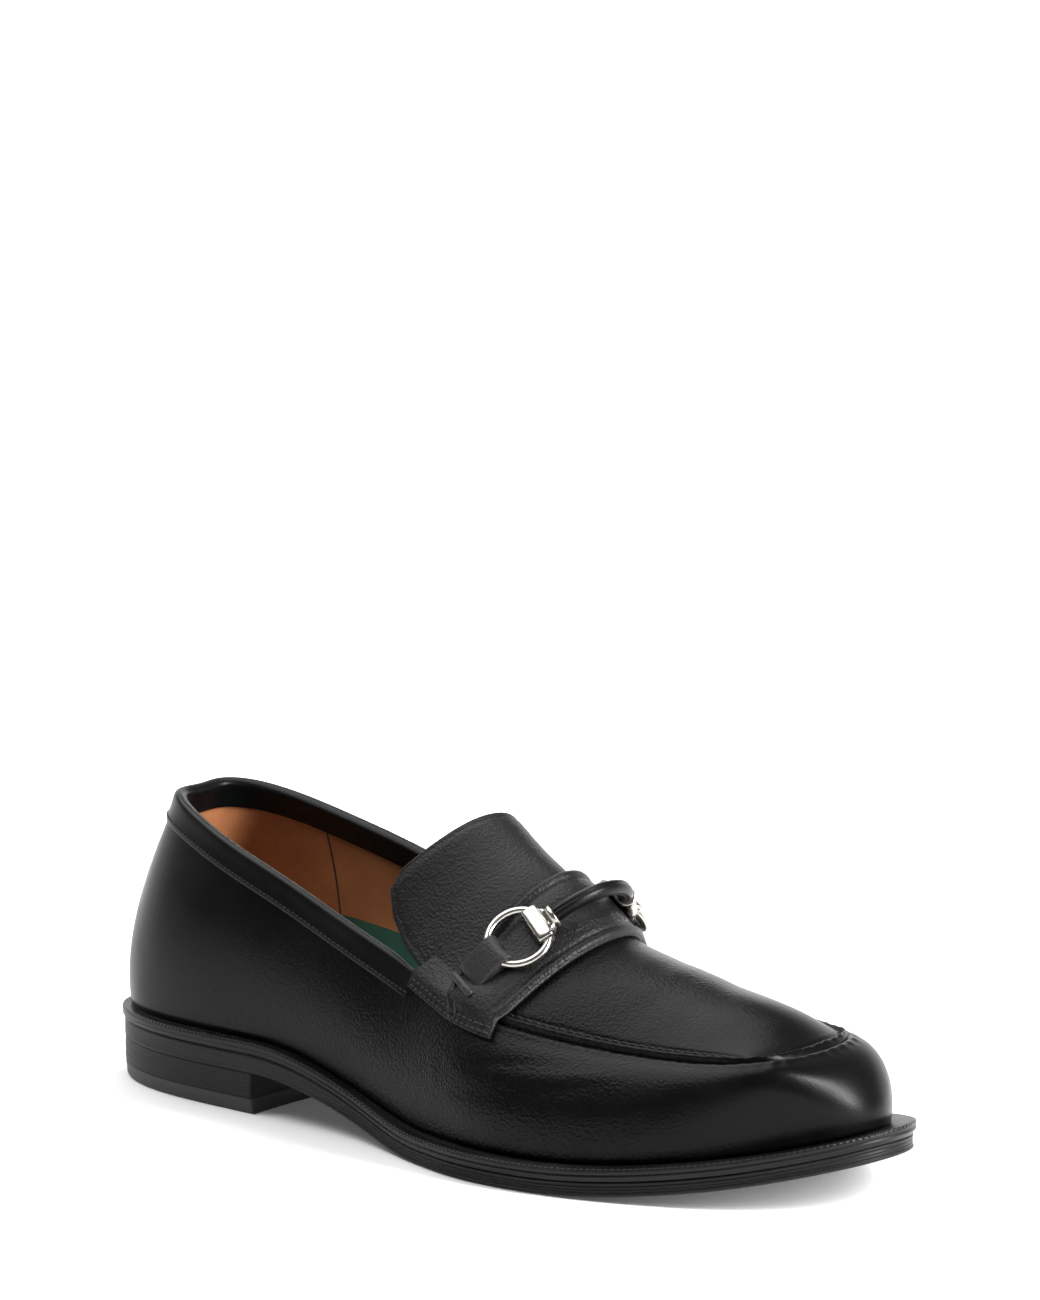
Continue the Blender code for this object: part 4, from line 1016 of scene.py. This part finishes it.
# Ferrule sections: place along the bar, width and height in millimetres, squareness; minus is over the ring
FERRULE = (
    (-5.5, 11.6, 1.6, 3.0), (-5.42, 12.4, 2.8, 4.0), (-5.2, 12.7, 3.9, 6.0), (-4.8, 12.8, 4.6, 8.0),
    (-4.2, 12.8, 4.9, 8.0), (-3.4, 12.8, 5.1, 8.0), (-2.6, 12.8, 5.2, 8.0), (-1.8, 12.8, 5.2, 8.0),
    (-1.1, 12.8, 5.1, 8.0), (-0.6, 12.6, 4.8, 8.0), (-0.4, 11.8, 4.3, 7.0), (-0.15, 10.6, 4.1, 6.0),
    (0.25, 9.4, 4.1, 5.0), (0.75, 8.3, 4.3, 4.0), (1.15, 7.5, 4.8, 3.0), (1.45, 7.0, 5.2, 2.6),
    (1.55, 7.2, 5.9, 2.3), (1.75, 7.5, 6.4, 2.2), (2.45, 7.5, 6.4, 2.2), (2.7, 7.0, 6.0, 2.2),
    (2.8, 5.9, 5.4, 2.2),
)
for name, sign in SIDES:
    bar_end, toward, plane_normal = float(sign > 0.0), *ends[name][1:]
    sections = []
    for along_bar, wide, high, power in FERRULE:
        share = max(along_bar, 0.0) * MM / span * 0.86
        point, way, side, up_way = bar_frame(abs(bar_end - share))
        if along_bar < 0.0:
            point = point + toward * -along_bar * MM
            side, up_way = unit(np.cross(plane_normal, toward)), plane_normal
            side = side * np.sign(side @ bar_frame(bar_end)[2])
        sections.append(soft_box(point, side, up_way, wide * MM, high * MM, power))
    outward("bit_ferrule_" + name, swept(sections), metal, "bit_metal", "ferrule_" + name)

# Leather roll between the ferrules, with three fold lines
bar_start = 2.2 * MM / span * 0.86
bar_sections = []
turn = circle(64)
groove = 1.0 - sum(0.09 * hump(turn, at, 0.17) for at in (0.75, 1.75, 3.6))
for share in steps(bar_start, 1.0 - bar_start, 60):
    point, way, side, up_way = bar_frame(share)
    radius = BAR_THICKNESS / 2.0 * (1.0 - 0.05 * hump(share, 0.5, 0.35)) * groove
    bar_sections.append(point + radius * (np.cos(turn) * side + np.sin(turn) * up_way))
outward("bit_roll", swept(bar_sections), smooth_black, "smooth_leather", "bit_bar")

# Stitches
for name, sign in SIDES:
    row = steps(WING_BACK + 0.012, 0.185, 160)
    down_v = strap_end(row)
    across_v = strap_surface(row, sign * down_v)
    drop = np.linalg.norm(strap_surface(row, sign * (down_v - 0.03)) - across_v, axis=1) / 0.03
    ahead = soft((row - strap_back(sign * down_v)) / 0.03)
    for number, depth in enumerate((1.3, 3.1)):
        v = down_v - depth * MM / drop
        here = strap_surface(row, sign * v)
        way = unit(np.gradient(here, axis=0))
        beside = unit(strap_surface(row, sign * (v - 0.01)) - here)
        out = unit(np.cross(way, beside))
        if (out[:, 1] * sign).sum() < 0.0:
            out = -out
        on_strap = STRAP_CLEAR + STRAP - 1.15 * (1.0 - soft((depth - 1.0) / 8.0)) * MM
        lift_by = WING_LIFT + ahead * (on_strap - WING_LIFT) + 0.04 * MM
        stitch_row("strap_stitches_%s_%d" % (name, number), here + out * lift_by[:, None], out, 2.4 * MM,
                   0.70, 0.30 * MM)
here, out, up = wall_frames(binding_t, 1.0 - (BINDING_DEPTH - 1.5 * MM) / height)
stitch_row("binding_stitches", here + out * (GAP + BINDING * 0.60), out, 2.0 * MM, 0.70, 0.22 * MM)


def apron_line(d):
    """Line on the apron at a distance from its seam, from the strap round the front and back."""
    sides = []
    for gaps, lines in ((from_out, apron_points), (from_in[:, ::-1], apron_points[:, ::-1])):
        sides.append([read_line([d], gaps[i], lines[i])[0] for i in range(rows)
                      if row_share[i] > 0.17 and from_front[i, across // 2] > d * 1.4])
    front = [read_line([-d], -from_front[:, j], apron_points[:, j])[0] for j in range(across)
             if from_side[-20, j] > d * 1.15]
    return np.array(sides[0] + front + sides[1][::-1])


seam_path = apron_line(4.2 * MM)
for again in range(6):
    seam_path[1:-1] = (seam_path[:-2] + 2.0 * seam_path[1:-1] + seam_path[2:]) / 4.0
apron_up = np.tile([0.0, 0.0, 1.0], (len(seam_path), 1))
stitch_row("apron_stitches", seam_path - apron_up * 0.30 * MM, apron_up, 2.9 * MM, 0.74, 0.30 * MM,
           "calf_leather")

# Camera at the photograph's angle: place and aim in millimetres from the heel back at the floor
AZIMUTH, PITCH, DISTANCE, PIXELS_PER_MM = np.radians(40.0), np.radians(6.5), 1200.0, 3.21
back = np.array([np.sin(AZIMUTH) * np.cos(PITCH), -np.cos(AZIMUTH) * np.cos(PITCH), np.sin(PITCH)])
right = np.array([np.cos(AZIMUTH), np.sin(AZIMUTH), 0.0])
above_way = np.array([-np.sin(AZIMUTH) * np.sin(PITCH), np.cos(AZIMUTH) * np.sin(PITCH), np.cos(PITCH)])
aim = np.array([150.0, 0.0, 40.0]) + 10.5 * right + 109.3 * above_way
camera_data = bpy.data.cameras.new("camera")
camera = add_object("camera", camera_data)
camera.location = Vector((aim + DISTANCE * back) * MM - SHIFT)
camera.rotation_euler = Vector(-back).to_track_quat("-Z", "Y").to_euler()
camera_data.sensor_fit = "HORIZONTAL"
camera_data.sensor_width = 36.0
camera_data.lens = 36.0 * PIXELS_PER_MM * DISTANCE / 1040.0
camera_data.clip_end = 50.0
scene.camera = camera
flat_back = unit(np.array([back[0], back[1], 0.0]))


# Studio: pale floor that turns up into a wall, and soft lights
def studio_place(aside, back_by, z):
    """Point of the studio: metres to the camera's right, toward the camera and up."""
    return right * aside + flat_back * back_by + np.array([0.0, 0.0, z])


def studio_paper(name, grey, glow, grain):
    """Matt paper that glows a little."""
    shade = Shader(name, (grey, grey, grey), 1.0, specular=0.0)
    shade.main.inputs["Emission Color"].default_value = (1.0, 1.0, 1.0, 1.0)
    shade.main.inputs["Emission Strength"].default_value = glow
    shade.bump(shade.noise(grain), 0.00005, 0.1)
    return shade.material


def stage_sheet(name, outline, surface):
    """Sheet across the view, from rows of distance behind the shoe and height."""
    points = [tuple(studio_place(aside, -behind, z)) for aside in (-4.0, 4.0) for behind, z in outline]
    count = len(outline)
    faces = [(k, count + k, count + k + 1, k + 1) for k in range(count - 1)]
    add_mesh(name, points, faces, surface)


stage_sheet("studio_floor", [(-3.0, 0.0), (0.55, 0.0)], studio_paper("paper", 0.93, 0.06, 120.0))
bend = [(1.3 + 0.5 * np.sin(a), 0.5 - 0.5 * np.cos(a)) for a in np.radians(steps(0.0, 90.0, 14))[1:]]
stage_sheet("studio_backdrop", [(0.55, 0.0), (1.3, 0.0), *bend, (1.8, 0.9)],
            studio_paper("backdrop", 0.9, 1.0, 90.0))

# Lights: place and aim as metres right, toward the camera and up; width, height and watts
LIGHTS = (
    ("top_box", (-0.40, -0.25, 1.30), (-0.05, 0.0, 0.03), 1.70, 1.40, 26.0),
    ("right_strip", (0.92, 0.50, 0.52), (0.13, 0.05, 0.03), 0.19, 0.80, 29.0),
)
for name, stand, target, size_x, size_y, power in LIGHTS:
    data = bpy.data.lights.new(name, "AREA")
    data.shape = "RECTANGLE"
    data.size = size_x
    data.size_y = size_y
    data.energy = power
    lamp = add_object(name, data)
    lamp.location = Vector(studio_place(*stand))
    aim_way = Vector(studio_place(*target) - studio_place(*stand))
    lamp.rotation_euler = aim_way.to_track_quat("-Z", "Y").to_euler()
world = bpy.data.worlds.new("studio")
world.use_nodes = True
background = world.node_tree.nodes["Background"].inputs
background["Color"].default_value = (1.0, 1.0, 1.0, 1.0)
background["Strength"].default_value = 0.14
scene.world = world
scene.view_settings.view_transform = "Standard"
scene.view_settings.look = "None"
